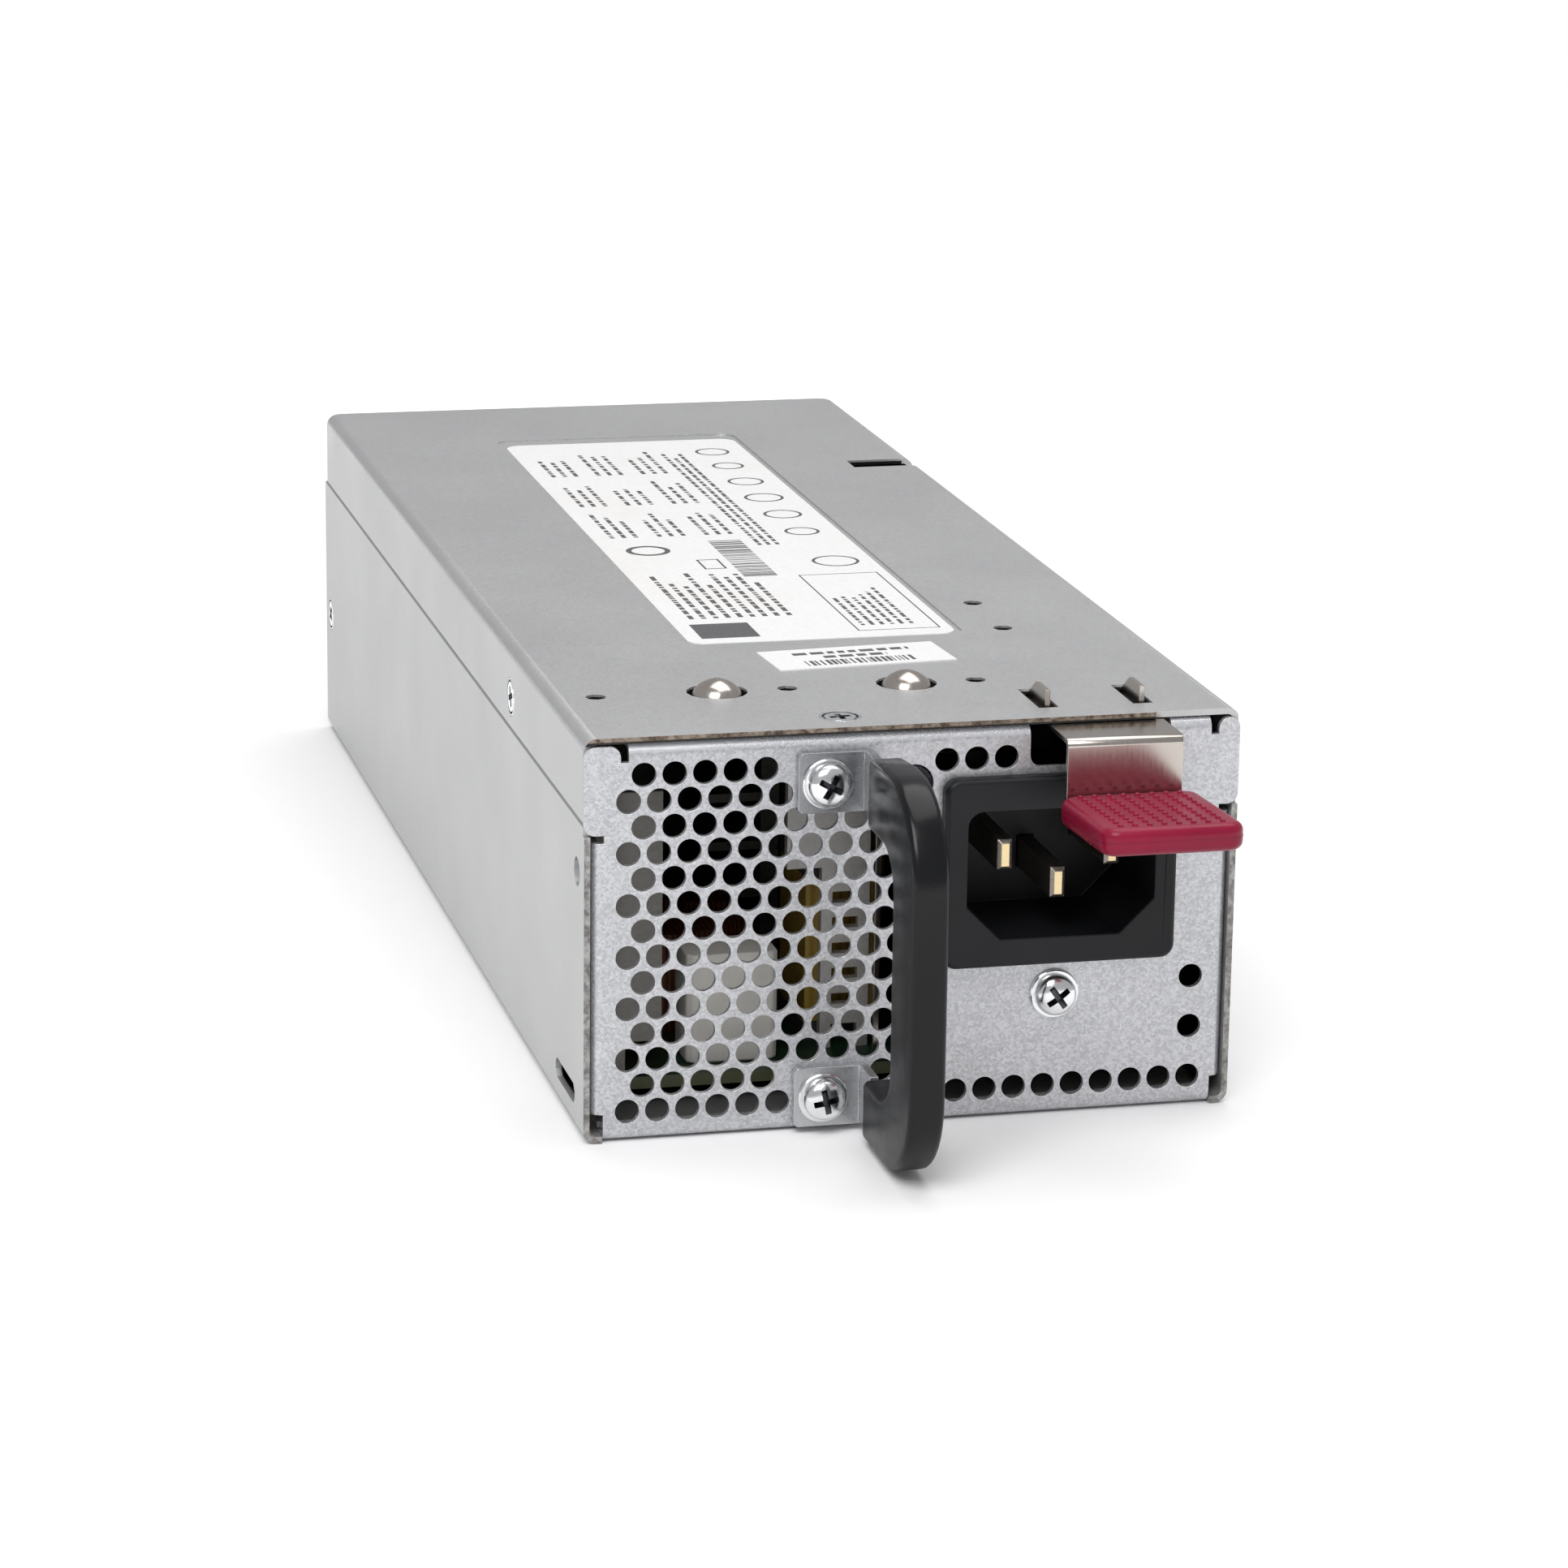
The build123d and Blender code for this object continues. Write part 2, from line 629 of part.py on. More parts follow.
def front_panel():
    """Perforated front with folded edges; its ears cover the ends of the walls and the cover."""
    outer = folded_front(0)
    panel = outer - folded_front(SHEET)
    # The side folds end below the ears, and the corners are relieved
    panel -= block(-WIDTH, WIDTH, SHEET, FOLD_DEPTH + 1, EAR_BOTTOM - RELIEF, UNDER - SHEET)
    panel -= block(-WIDTH, WIDTH, -1, FOLD_DEPTH + 1, -1, CORNER_RELIEF_HEIGHT) - block(
        -HALF + CORNER_RELIEF, HALF - CORNER_RELIEF, -1, FOLD_DEPTH + 1, -1, CORNER_RELIEF_HEIGHT
    )
    for side in (-1, 1):
        width = EAR_WIDTH_LEFT if side < 0 else EAR_WIDTH_RIGHT
        panel -= ear_relief(side, width)
        panel += ear(side, width)
    panel -= along_y(front_openings(), -1, SHEET + LAP)
    panel -= block(
        LATCH_GAP_X0, LATCH_GAP_X1, -1, FOLD_DEPTH + 1, UNDER - BEND, HEIGHT
    )
    panel -= wall_openings()
    panel -= facing_up(COVER_SCREW_X, COVER_SCREW_Y) * flat_seat()
    return panel


def folded_front(inset):
    box = block(
        -INSIDE - SHEET + STEP - LAP + inset, INSIDE + SHEET - STEP + LAP - inset,
        inset, FOLD_DEPTH + (1 if inset else 0), inset, UNDER - inset,
    )
    front = box.edges().group_by(Axis.Y)[0]
    return fillet(front, BEND - inset)


def ear_relief(side, width):
    """Removes the fold at an upper corner, and cuts the slots that part the ear from the folds."""
    inner = HALF - width
    corner = block(inner - RELIEF, WIDTH, -1, FOLD_DEPTH + 1, EAR_TOP - RELIEF_DEPTH, HEIGHT)
    edge = block(INSIDE - BEND, WIDTH, -1, FOLD_DEPTH + 1, EAR_BOTTOM - RELIEF, HEIGHT)
    cut = corner + edge
    return cut if side > 0 else mirror(cut, Plane.YZ)


def ear(side, width):
    """Flat tab of the front panel over the end of the side wall."""
    low = EAR_BOTTOM
    tab = Rectangle(width, EAR_TOP - low)
    tab = fillet(tab.vertices(), EAR_RADIUS)
    neck = Pos(-(width + RELIEF) / 2, 0) * Rectangle(RELIEF + width, EAR_TOP - low - 2 * RELIEF_DEPTH)
    shape = Pos(HALF - width / 2, (EAR_TOP + low) / 2) * (tab + neck)
    shape += Pos(INSIDE - BEND - RELIEF, (EAR_TOP + low) / 2 - RELIEF_DEPTH) * Rectangle(
        2 * RELIEF + BEND, EAR_TOP - low - 2 * RELIEF_DEPTH
    )
    solid = along_y(shape, 0, SHEET)
    return solid if side > 0 else mirror(solid, Plane.YZ)


def front_openings():
    """Everything cut through the front: perforation, inlet, latch gap, light and screw holes."""
    holes = perforation()
    holes += Pos(INLET_X, INLET_Z) * Rectangle(
        BEZEL_WIDTH - 2 * INLET_WALL + 2 * LAP, BEZEL_HEIGHT - 2 * INLET_WALL + 2 * LAP
    )
    gap_width = LATCH_GAP_X1 - LATCH_GAP_X0
    gap = RectangleRounded(gap_width, 2 * LATCH_GAP_DEPTH, LATCH_GAP_RADIUS)
    holes += Pos(LATCH_GAP_X0 + gap_width / 2, HEIGHT) * gap
    holes += Pos(LED_X, LED_Z) * RegularPolygon(LED_RADIUS + LAP, DOME_FLAT_COUNT)
    for x, z in screw_places():
        holes += Pos(x, z) * small_hole()
    return holes


def screw_places():
    """Screws through the front panel: the handle's two and the earth screw."""
    return bracket_screw_places() + [ground_screw_place()]


def ground_screw_place():
    return INLET_X, INLET_Z - BEZEL_HEIGHT / 2 - WASHER_RADIUS - EARTH_SCREW_GAP


def rear_panel():
    """Rear wall with its edges folded forward, a stamped fan guard and a slot for the board."""
    y1 = LENGTH - STEP
    y0 = y1 - FOLD_DEPTH
    outer = rear_fold(y0, y1, 0)
    panel = outer - rear_fold(y0 - 1, y1, SHEET)
    fold_top = SEAM_Z - 2 * JOGGLE - LAP
    panel -= block(-WIDTH, WIDTH, y0 - 1, y1 - SHEET, fold_top, HEIGHT)
    shoulder = block(INSIDE - BEND, WIDTH, y0 - 1, LENGTH, fold_top, HEIGHT)
    foot = block(INSIDE - CORNER_RELIEF, WIDTH, y0 - 1, LENGTH, 0, STEP + CORNER_RELIEF)
    panel -= mirrored(shoulder + foot)
    panel -= along_y(fan_guard(), y1 - SHEET - 1, LENGTH)
    tongue = block(
        TONGUE_X0 - 1, TONGUE_X1 + 1, y0, LENGTH, BOARD_Z - 2 * LAP - 1, BOARD_TOP + 2 * LAP + 3
    )
    panel -= tongue
    return panel - mirrored(facing_left(REAR_SCREW_Y, REAR_SCREW_Z) * extrude(small_hole(), -4 * SHEET))


def rear_fold(y0, y1, inset):
    top = UNDER - BEND
    box = block(-INSIDE + inset, INSIDE - inset, y0, y1 - inset, STEP + inset, top + inset)
    rear = box.edges().group_by(Axis.Y)[-1]
    rear = [e for e in rear if e.center().Z < top - LAP]
    return fillet(rear, BEND - inset)


def fan_guard():
    """Honeycomb of openings in front of the fan, and the fan's screw holes."""
    cell = RegularPolygon(GUARD_CELL / 2, HEX_FLAT_COUNT, major_radius=False)
    pitch = GUARD_CELL + GUARD_WEB
    openings = Sketch()
    for place in HexLocations(pitch / 2, 7, 7):
        at = place.position
        if math.hypot(at.X, at.Y) < FAN_BORE - GUARD_CELL / 3:
            openings += place * cell
    for place in GridLocations(FAN_HOLE_PITCH, FAN_HOLE_PITCH, 2, 2):
        openings += place * small_hole()
    return Pos(FAN_X, FAN_Z) * openings


def cover_screws():
    """Countersunk screws that hold the cover: one on top and one in each side."""
    sides = [facing_left(SIDE_SCREW_Y, SIDE_SCREW_Z) * flat_screw(3 * SHEET)]
    return [facing_up(COVER_SCREW_X, COVER_SCREW_Y) * flat_screw(3 * SHEET)] + [
        piece for side in sides for piece in both_sides(side)
    ]


def rear_screws():
    """Countersunk screws through the side walls into the rear panel's folds."""
    return both_sides(facing_left(REAR_SCREW_Y, REAR_SCREW_Z) * flat_screw(3 * SHEET))


def rating_label():
    label = RectangleRounded(LABEL_WIDTH, LABEL_LENGTH, LABEL_RADIUS)
    base = HEIGHT - LABEL_RECESS
    return along_z(Pos(LABEL_X, LABEL_Y) * label, base, base + LABEL_THICKNESS)


def asset_label():
    label = Rot(0, 0, SMALL_LABEL_TURN) * Rectangle(*SMALL_LABEL)
    return along_z(Pos(*SMALL_LABEL_PLACE) * label, HEIGHT, HEIGHT + LABEL_THICKNESS)


# Mains inlet
def cavity():
    """Outline of the socket: rounded above, with its two lower corners cut at 45 degrees."""
    w, h, c = CAVITY_WIDTH / 2, CAVITY_HEIGHT / 2, CAVITY_CHAMFER
    shape = outline((-w, h), (w, h), (w, c - h), (w - c, -h), (c - w, -h), (-w, c - h))
    corners = shape.vertices().group_by(Axis.Y)[-1]
    return Pos(INLET_X, CAVITY_Z) * fillet(corners, CAVITY_RADIUS)


def ac_inlet():
    """Moulded socket: a bezel in front of the panel and a deep shroud behind it."""
    bezel = Pos(INLET_X, INLET_Z) * RectangleRounded(BEZEL_WIDTH, BEZEL_HEIGHT, BEZEL_RADIUS)
    shroud = Pos(INLET_X, INLET_Z) * Rectangle(BEZEL_WIDTH - 2 * INLET_WALL, BEZEL_HEIGHT - 2 * INLET_WALL)
    rear = CAVITY_DEPTH - BEZEL + INLET_FLOOR
    body = along_y(bezel, -BEZEL, 0)
    body = chamfer(body.faces().sort_by(Axis.Y)[0].edges(), BEZEL_CHAMFER)
    body += along_y(shroud, 0, rear)
    body -= along_y(cavity(), -BEZEL - 1, CAVITY_DEPTH - BEZEL)
    for pin in inlet_pins():
        body -= pin
    return body


def inlet_pins():
    """Each pin in one piece with its tab, which turns down to the board."""
    front = PIN_RECESS - BEZEL
    rear = CAVITY_DEPTH - BEZEL + INLET_FLOOR
    pins = []
    for x, z in inlet_pin_places():
        pin = along_y(Pos(x, z) * Rectangle(PIN_WIDTH, PIN_HEIGHT), front, rear)
        pin = chamfer(pin.faces().sort_by(Axis.Y)[0].edges(), PIN_TIP)
        tab = outline(
            (rear, z + PIN_HEIGHT / 2), (rear + TAB_LENGTH, z + PIN_HEIGHT / 2),
            (rear + TAB_LENGTH, BOARD_TOP), (rear + TAB_LENGTH - PIN_HEIGHT, BOARD_TOP),
            (rear + TAB_LENGTH - PIN_HEIGHT, z - PIN_HEIGHT / 2), (rear, z - PIN_HEIGHT / 2),
        )
        pins.append(pin + along_x(tab, x - TAB_THICKNESS / 2, x + TAB_THICKNESS / 2))
    return pins


def inlet_pin_places():
    """Neutral, line and the lower earth pin, as (x, z)."""
    line = [(INLET_X + side * PIN_PITCH, LINE_PIN_Z) for side in (-1, 1)]
    return line + [(INLET_X, LINE_PIN_Z - EARTH_DROP)]


def inlet_ground_screw():
    x, z = ground_screw_place()
    return facing_front(x, -WASHER, z) * pan_screw(SCREW_LENGTH)


def ground_washer():
    x, z = ground_screw_place()
    return facing_front(x, 0, z) * washer()


# Handle
def bracket_places():
    """X of the bent ear's outer face and Z of the middle of each bracket."""
    ear_x = HANDLE_X - BRACKET - LAP
    return [(ear_x, HANDLE_BOTTOM + BRACKET_RISE), (ear_x, HANDLE_TOP - BRACKET_DROP)]


def bracket_screw(z):
    return HANDLE_X - LAP - BRACKET - BRACKET_SCREW_INSET, z


def handle_bracket(z):
    """Plate on the front panel whose ear runs forward into the end of the handle."""
    ear_x = HANDLE_X - LAP
    left = ear_x - PLATE_WIDTH - BRACKET
    reach = HANDLE_BACK - LAP
    angle = outline((left, 0), (left, -BRACKET), (ear_x - BRACKET, -BRACKET), (ear_x - BRACKET, -reach),
                    (ear_x, -reach), (ear_x, 0))
    bracket = along_z(angle, z - PLATE_HEIGHT / 2, z + PLATE_HEIGHT / 2)
    uprights = bracket.edges().filter_by(Axis.Z)
    bracket = fillet([e for e in uprights if e.center().X > ear_x - LAP and e.center().Y > -LAP], BRACKET)
    corners = bracket.edges().filter_by(Axis.Y).group_by(Axis.X)[0]
    bracket = chamfer(corners, PLATE_CHAMFER)
    bracket += block(
        ear_x - BRACKET, ear_x, -HANDLE_BACK - TONGUE_LENGTH, -reach,
        z - TONGUE_HEIGHT / 2, z + TONGUE_HEIGHT / 2,
    )
    x, _ = bracket_screw(z)
    return bracket - facing_front(x, LAP, z) * extrude(small_hole(), 2 * BRACKET)


def handle_bracket_lower():
    return handle_bracket(bracket_places()[0][1])


def handle_bracket_upper():
    return handle_bracket(bracket_places()[1][1])


def handle():
    """Moulded D-shaped handle with softened edges and a pocket in each arm for its bracket."""
    front = -HANDLE_REACH
    back = -HANDLE_BACK
    side = outline(
        (back, HANDLE_BOTTOM), (front, HANDLE_BOTTOM), (front, HANDLE_TOP),
        (back - ARM_HEIGHT, HANDLE_TOP), (back, HANDLE_TOP - ARM_SLOPE),
    )
    side = fillet(side.vertices().group_by(Axis.X)[0], HANDLE_RADIUS)
    low = HANDLE_BOTTOM + ARM_HEIGHT
    high = HANDLE_TOP - ARM_HEIGHT - ARM_SLOPE / 2
    gap = outline((back + 1, low), (front + GRIP_DEPTH, low), (front + GRIP_DEPTH, high), (back + 1, high))
    side -= fillet(gap.vertices().group_by(Axis.X)[0], GAP_RADIUS)
    body = along_x(side, HANDLE_X - HANDLE_WIDTH / 2, HANDLE_X + HANDLE_WIDTH / 2)
    rims = body.faces().filter_by(Axis.X)
    outside = [e for face in rims for e in face.edges() if is_outside(e)]
    body = chamfer(outside, HANDLE_EDGE)
    for _, z in bracket_places():
        body -= block(
            HANDLE_X - BRACKET - 2 * LAP, HANDLE_X, back - TONGUE_LENGTH - LAP, back + LAP,
            z - TONGUE_HEIGHT / 2 - LAP, z + TONGUE_HEIGHT / 2 + LAP,
        )
    return body


def is_outside(edge):
    """True for the edges around the handle's outer outline, without the gap's and the rear ones."""
    middle = edge.center()
    in_gap = HANDLE_BOTTOM + ARM_HEIGHT / 2 < middle.Z < HANDLE_TOP - ARM_HEIGHT / 2 - ARM_SLOPE
    return middle.Y < -HANDLE_BACK - LAP and not (in_gap and middle.Y > GRIP_DEPTH / 2 - HANDLE_REACH)


def bracket_screw_places():
    return [bracket_screw(z) for _, z in bracket_places()]


def handle_screws():
    screw = pan_screw(SCREW_LENGTH)
    return [facing_front(x, -BRACKET - WASHER, z) * screw for x, z in bracket_screw_places()]


def handle_washers():
    return [facing_front(x, -BRACKET, z) * washer() for x, z in bracket_screw_places()]


# Sprung latch
def latch_arm():
    """Spring blade under the cover: two teeth rise through it, and the front turns down to the grip."""
    top = UNDER
    low = top - BLADE
    y_leg = -LATCH_FRONT
    leg_low = GRIP_TOP - GRIP_THICKNESS / 2
    profile = outline(
        (LATCH_HINGE_Y - FINGER_GAP, top), (y_leg, top), (y_leg, leg_low + BLADE / 2),
        (y_leg - GRIP_TONGUE, leg_low + BLADE / 2), (y_leg - GRIP_TONGUE, leg_low - BLADE / 2),
        (y_leg + BLADE, leg_low - BLADE / 2), (y_leg + BLADE, low), (LATCH_HINGE_Y - FINGER_GAP, low),
    )
    arm = along_x(profile, LATCH_X - LATCH_WIDTH / 2, LATCH_X + LATCH_WIDTH / 2)
    folds = arm.edges().filter_by(Axis.X)
    outer = [e for e in folds if is_at(e, y_leg, top) or is_at(e, y_leg + BLADE, leg_low - BLADE / 2)]
    arm = fillet(outer, LATCH_BEND)
    for x in tooth_places():
        arm += along_x(tooth(), x - BLADE / 2, x + BLADE / 2)
    return arm


def is_at(edge, y, z):
    return math.hypot(edge.center().Y - y, edge.center().Z - z) < LAP


def tooth():
    """Side view of a tooth: upright in front, flat on top, sloping down behind."""
    base = UNDER - BLADE / 2
    top = HEIGHT + TOOTH_RISE
    back = TOOTH_FRONT + TOOTH_FLAT
    foot = back + TOOTH_SLOPE
    return outline((TOOTH_FRONT, base), (TOOTH_FRONT, top), (back, top), (foot, UNDER), (foot, base))


def latch_anchor():
    """Rear end of the same spring blade, fixed to the cover; the arm bends where it begins."""
    plate = Pos(LATCH_X, LATCH_HINGE_Y + ANCHOR_LENGTH / 2) * Rectangle(LATCH_WIDTH, ANCHOR_LENGTH)
    for y in latch_anchor_places():
        plate -= Pos(LATCH_X, y) * RegularPolygon(ANCHOR_HOLE_RADIUS, FLAT_COUNT)
    return along_z(plate, UNDER - BLADE, UNDER)


def latch_grip():
    """Moulded finger grip over the turned end of the blade."""
    y1 = -LATCH_FRONT - LAP
    plan = Pos(LATCH_X, y1 - GRIP_LENGTH / 2) * Rectangle(GRIP_WIDTH, GRIP_LENGTH)
    grip = along_z(chamfer(plan.vertices(), GRIP_CORNER), GRIP_TOP - GRIP_THICKNESS, GRIP_TOP)
    grip = chamfer(grip.faces().filter_by(Axis.Z).edges(), GRIP_EDGE)
    middle = GRIP_TOP - GRIP_THICKNESS / 2
    return grip - block(
        LATCH_X - LATCH_WIDTH / 2 - LAP, LATCH_X + LATCH_WIDTH / 2 + LAP,
        -LATCH_FRONT - GRIP_TONGUE - LAP, y1 + 1, middle - BLADE / 2 - LAP, middle + BLADE / 2 + LAP,
    )


# Domed contact springs
def contact_strip():
    """Spring strip fixed to the cover's underside, with a window around each sprung finger."""
    left = anchor_hole_places()[0] - CONTACT_END
    right = anchor_hole_places()[-1] + CONTACT_END
    strip = Pos((left + right) / 2, DOME_Y) * Rectangle(right - left, CONTACT_WIDTH)
    for x in anchor_hole_places():
        strip -= Pos(x, DOME_Y) * RegularPolygon(ANCHOR_HOLE_RADIUS, FLAT_COUNT)
    for x in DOME_X:
        x0, x1 = x - FINGER_ROOT - FINGER_GAP, x + FINGER_TIP + FINGER_GAP
        window = Rectangle(x1 - x0, FINGER_WIDTH + 2 * FINGER_GAP)
        strip -= Pos((x0 + x1) / 2, DOME_Y) * window
    return along_z(strip, UNDER - CONTACT_SHEET, UNDER)


def contact_spring(x):
    """One finger of the strip with a pressed dome that stands through the cover."""
    x0, x1 = x - FINGER_ROOT, x + FINGER_TIP
    finger = Pos((x0 + x1) / 2, DOME_Y) * Rectangle(x1 - x0, FINGER_WIDTH)
    sheet = along_z(finger, UNDER - CONTACT_SHEET, UNDER)
    dome = along_z(Pos(x, DOME_Y) * RegularPolygon(DOME_RADIUS, DOME_FLAT_COUNT), UNDER, HEIGHT + DOME_RISE)
    return sheet + chamfer(dome.edges().group_by(Axis.Z)[-1], DOME_RISE, DOME_RADIUS / 2)


def contact_spring_left():
    return contact_spring(DOME_X[0])


def contact_spring_right():
    return contact_spring(DOME_X[1])


# Status light
def status_led():
    """Light pipe that stands a little proud of the front panel."""
    pipe = extrude(RegularPolygon(LED_RADIUS, DOME_FLAT_COUNT), LED_PROUD + LED_LENGTH)
    pipe = chamfer(pipe.edges().group_by(Axis.Z)[-1], LED_PROUD)
    return facing_front(LED_X, LED_LENGTH, LED_Z) * pipe


def led_leads():
    """Two bent legs from the light down to the board."""
    rear = LED_LENGTH + LEG_RUN
    shape = outline(
        (LED_LENGTH, LED_Z), (rear, LED_Z), (rear, BOARD_TOP), (rear - LEG, BOARD_TOP),
        (rear - LEG, LED_Z - LEG), (LED_LENGTH, LED_Z - LEG),
    )
    middles = [LED_X - LED_RADIUS / 2, LED_X + LED_RADIUS / 2]
    return [along_x(shape, x - LEG / 2, x + LEG / 2) for x in middles]


# Board
def main_board():
    """Circuit board on standoffs; a tongue with the output contacts leaves through the rear panel."""
    plan = outline(
        (-BOARD_HALF, BOARD_FRONT), (BOARD_HALF, BOARD_FRONT), (BOARD_HALF, BOARD_REAR),
        (TONGUE_X1, BOARD_REAR), (TONGUE_X1, LENGTH + TONGUE_REACH), (TONGUE_X0, LENGTH + TONGUE_REACH),
        (TONGUE_X0, BOARD_REAR), (-BOARD_HALF, BOARD_REAR),
    )
    tips = [v for v in plan.vertices() if v.Y > LENGTH]
    plan = chamfer(tips, TONGUE_CHAMFER)
    for x, y in standoff_places():
        plan -= Pos(x, y) * small_hole()
    return along_z(plan, BOARD_Z, BOARD_TOP)


def standoff_places():
    rows = (STANDOFF_FRONT, STANDOFF_MIDDLE, STANDOFF_REAR)
    return [(x, y) for y in rows for x in (-STANDOFF_X, STANDOFF_X)]


def board_standoffs():
    hexagon = RegularPolygon(STANDOFF_RADIUS, HEX_FLAT_COUNT)
    return [along_z(Pos(x, y) * hexagon, SHEET, BOARD_Z) for x, y in standoff_places()]


def board_screws():
    return [Pos(x, y, BOARD_TOP) * hex_screw(BOARD) for x, y in standoff_places()]


def insulator_sheet():
    """Insulating film on the floor, cut out around the standoffs."""
    y0, y1 = floor_lap()[1] + 3, LENGTH - STEP - FOLD_DEPTH - 2
    half = HALF - SHEET - BEND
    plan = Pos(0, (y0 + y1) / 2) * Rectangle(2 * half, y1 - y0)
    for x, y in standoff_places():
        plan -= Pos(x, y) * RegularPolygon(STANDOFF_RADIUS + 2 * LAP, HEX_FLAT_COUNT)
    return along_z(plan, SHEET, SHEET + FILM)


def edge_contacts():
    """Rows of contact pads on both faces of the board's tongue."""
    pitch = (TONGUE_X1 - TONGUE_X0) / CONTACT_COUNT
    y1 = LENGTH + TONGUE_REACH - CONTACT_SETBACK
    pads = []
    for i in range(CONTACT_COUNT):
        x = TONGUE_X0 + (i + 0.5) * pitch
        pad = Pos(x, y1 - CONTACT_LENGTH / 2) * Rectangle(pitch * CONTACT_SHARE, CONTACT_LENGTH)
        pads.append(along_z(pad, BOARD_TOP, BOARD_TOP + CONTACT_FILM))
        pads.append(along_z(pad, BOARD_Z - CONTACT_FILM, BOARD_Z))
    return pads


# Components on the board
def standing(size, place, base=BOARD_TOP):
    """Block of (width, depth, height) on the board, with its middle at place."""
    width, depth, height = size
    x, y = place
    return block(x - width / 2, x + width / 2, y - depth / 2, y + depth / 2, base, base + height)


def filter_capacitor():
    """Boxed capacitor with softened upright edges."""
    box = standing(FILTER_CAPACITOR, FILTER_CAPACITOR_AT)
    return chamfer(box.edges().filter_by(Axis.Z), CAPACITOR_CHAMFER)


def filter_heat_sink():
    """Bent plate in the left front corner, on feet."""
    x0, x1 = FILTER_SINK_X, FILTER_SINK_X + FILTER_SINK_WIDTH
    y0, y1 = FILTER_SINK_Y, FILTER_SINK_Y + FILTER_SINK_DEPTH
    inner_x, inner_y = x0 + SINK_SHEET, y0 + SINK_SHEET
    plan = outline((x0, y0), (x1, y0), (x1, inner_y), (inner_x, inner_y), (inner_x, y1), (x0, y1))
    sink = along_z(plan, SINK_LOW, SINK_TOP)
    sink += block(x0, x0 + SINK_FOOT, y0, inner_y, BOARD_TOP, SINK_LOW)
    return sink + block(x0, inner_x, y1 - SINK_FOOT, y1, BOARD_TOP, SINK_LOW)


def slotted_heat_sink():
    """Upright plate in the middle of the front, wider above and slotted for the air, on two feet."""
    x0, x1 = SLOTTED_SINK_X
    low, top = SLOTTED_SINK_Z
    plate = outline(
        (x1, low), (x1, top), (x0, top), (x0, SLOTTED_SHOULDER), (SLOTTED_NECK, SLOTTED_SHOULDER),
        (SLOTTED_NECK, low),
    )
    middle = (SLOTTED_NECK + x1) / 2
    length = x1 - SLOTTED_NECK - 2 * SINK_SHEET
    for i in range(SINK_SLOTS):
        plate -= Pos(middle, low + (i + 1) * SINK_SLOT_PITCH) * Rectangle(length, SINK_SLOT)
    for x in (SLOTTED_NECK, x1 - SINK_SHEET):
        plate += Pos(x + SINK_SHEET / 2, (BOARD_TOP + low) / 2) * Rectangle(SINK_SHEET, low - BOARD_TOP)
    return along_y(plate, SLOTTED_SINK_Y, SLOTTED_SINK_Y + SINK_SHEET)


def drum_core(size, place):
    """Ferrite drum: two flanges joined by a narrower leg."""
    width, depth, height = size
    core = standing(size, place)
    gap = standing((width + 1, depth + 1, height - 2 * FLANGE), place, BOARD_TOP + FLANGE)
    leg = standing((width / 2, depth / 2, height - 2 * FLANGE), place, BOARD_TOP + FLANGE)
    return core - gap + leg


def drum_winding(size, place):
    """Taped winding between the flanges of a drum core."""
    width, depth, height = size
    base = BOARD_TOP + FLANGE + LAP
    tall = height - 2 * FLANGE - 2 * LAP
    outer = standing((width - 2 * LAP, depth - 2 * LAP, tall), place, base)
    return outer - standing((width / 2 + 2 * LAP, depth / 2 + 2 * LAP, tall), place, base)


def filter_choke_core():
    return drum_core(FILTER_CHOKE, FILTER_CHOKE_AT)


def filter_choke_winding():
    return drum_winding(FILTER_CHOKE, FILTER_CHOKE_AT)


def line_choke_core():
    return drum_core(LINE_CHOKE, LINE_CHOKE_AT)


def line_choke_winding():
    return drum_winding(LINE_CHOKE, LINE_CHOKE_AT)


def ring(radius, bore):
    return RegularPolygon(radius, RING_FLAT_COUNT) - RegularPolygon(bore, RING_FLAT_COUNT)


def ring_core(radius, place):
    """Ring core that lies flat on its winding."""
    band = ring(radius - WINDING, RING_BORE * radius + WINDING)
    return along_z(Pos(*place) * band, BOARD_TOP + WINDING, BOARD_TOP + RING_HEIGHT - WINDING)


def ring_winding(radius, place):
    """Winding around a ring core, open over the stretch where its ends part."""
    wound = along_z(Pos(*place) * ring(radius, RING_BORE * radius), BOARD_TOP, BOARD_TOP + RING_HEIGHT)
    band = ring(radius - WINDING + LAP, RING_BORE * radius + WINDING - LAP)
    wound -= along_z(Pos(*place) * band, BOARD_TOP + WINDING - LAP, BOARD_TOP + RING_HEIGHT - WINDING + LAP)
    parting = Pos(*place) * Pos(radius, 0) * Rectangle(2 * radius, RING_PARTING)
    return wound - along_z(parting, BOARD_TOP, BOARD_TOP + RING_HEIGHT)


def boost_choke_core():
    return ring_core(BOOST_CHOKE_RADIUS, BOOST_CHOKE_AT)


def boost_choke_winding():
    return ring_winding(BOOST_CHOKE_RADIUS, BOOST_CHOKE_AT)


def output_choke_core():
    return ring_core(OUTPUT_CHOKE_RADIUS, OUTPUT_CHOKE_AT)


def output_choke_winding():
    return ring_winding(OUTPUT_CHOKE_RADIUS, OUTPUT_CHOKE_AT)


def can_capacitor(radius, height, flats, x, y):
    """Round aluminium capacitor with a bevelled top."""
    can = along_z(Pos(x, y) * RegularPolygon(radius, flats), BOARD_TOP, BOARD_TOP + height)
    return chamfer(can.edges().group_by(Axis.Z)[-1], CAPACITOR_CHAMFER)


def bulk_capacitors():
    return [can_capacitor(BULK_RADIUS, BULK_HEIGHT, RING_FLAT_COUNT, BULK_X, y) for y in BULK_Y]


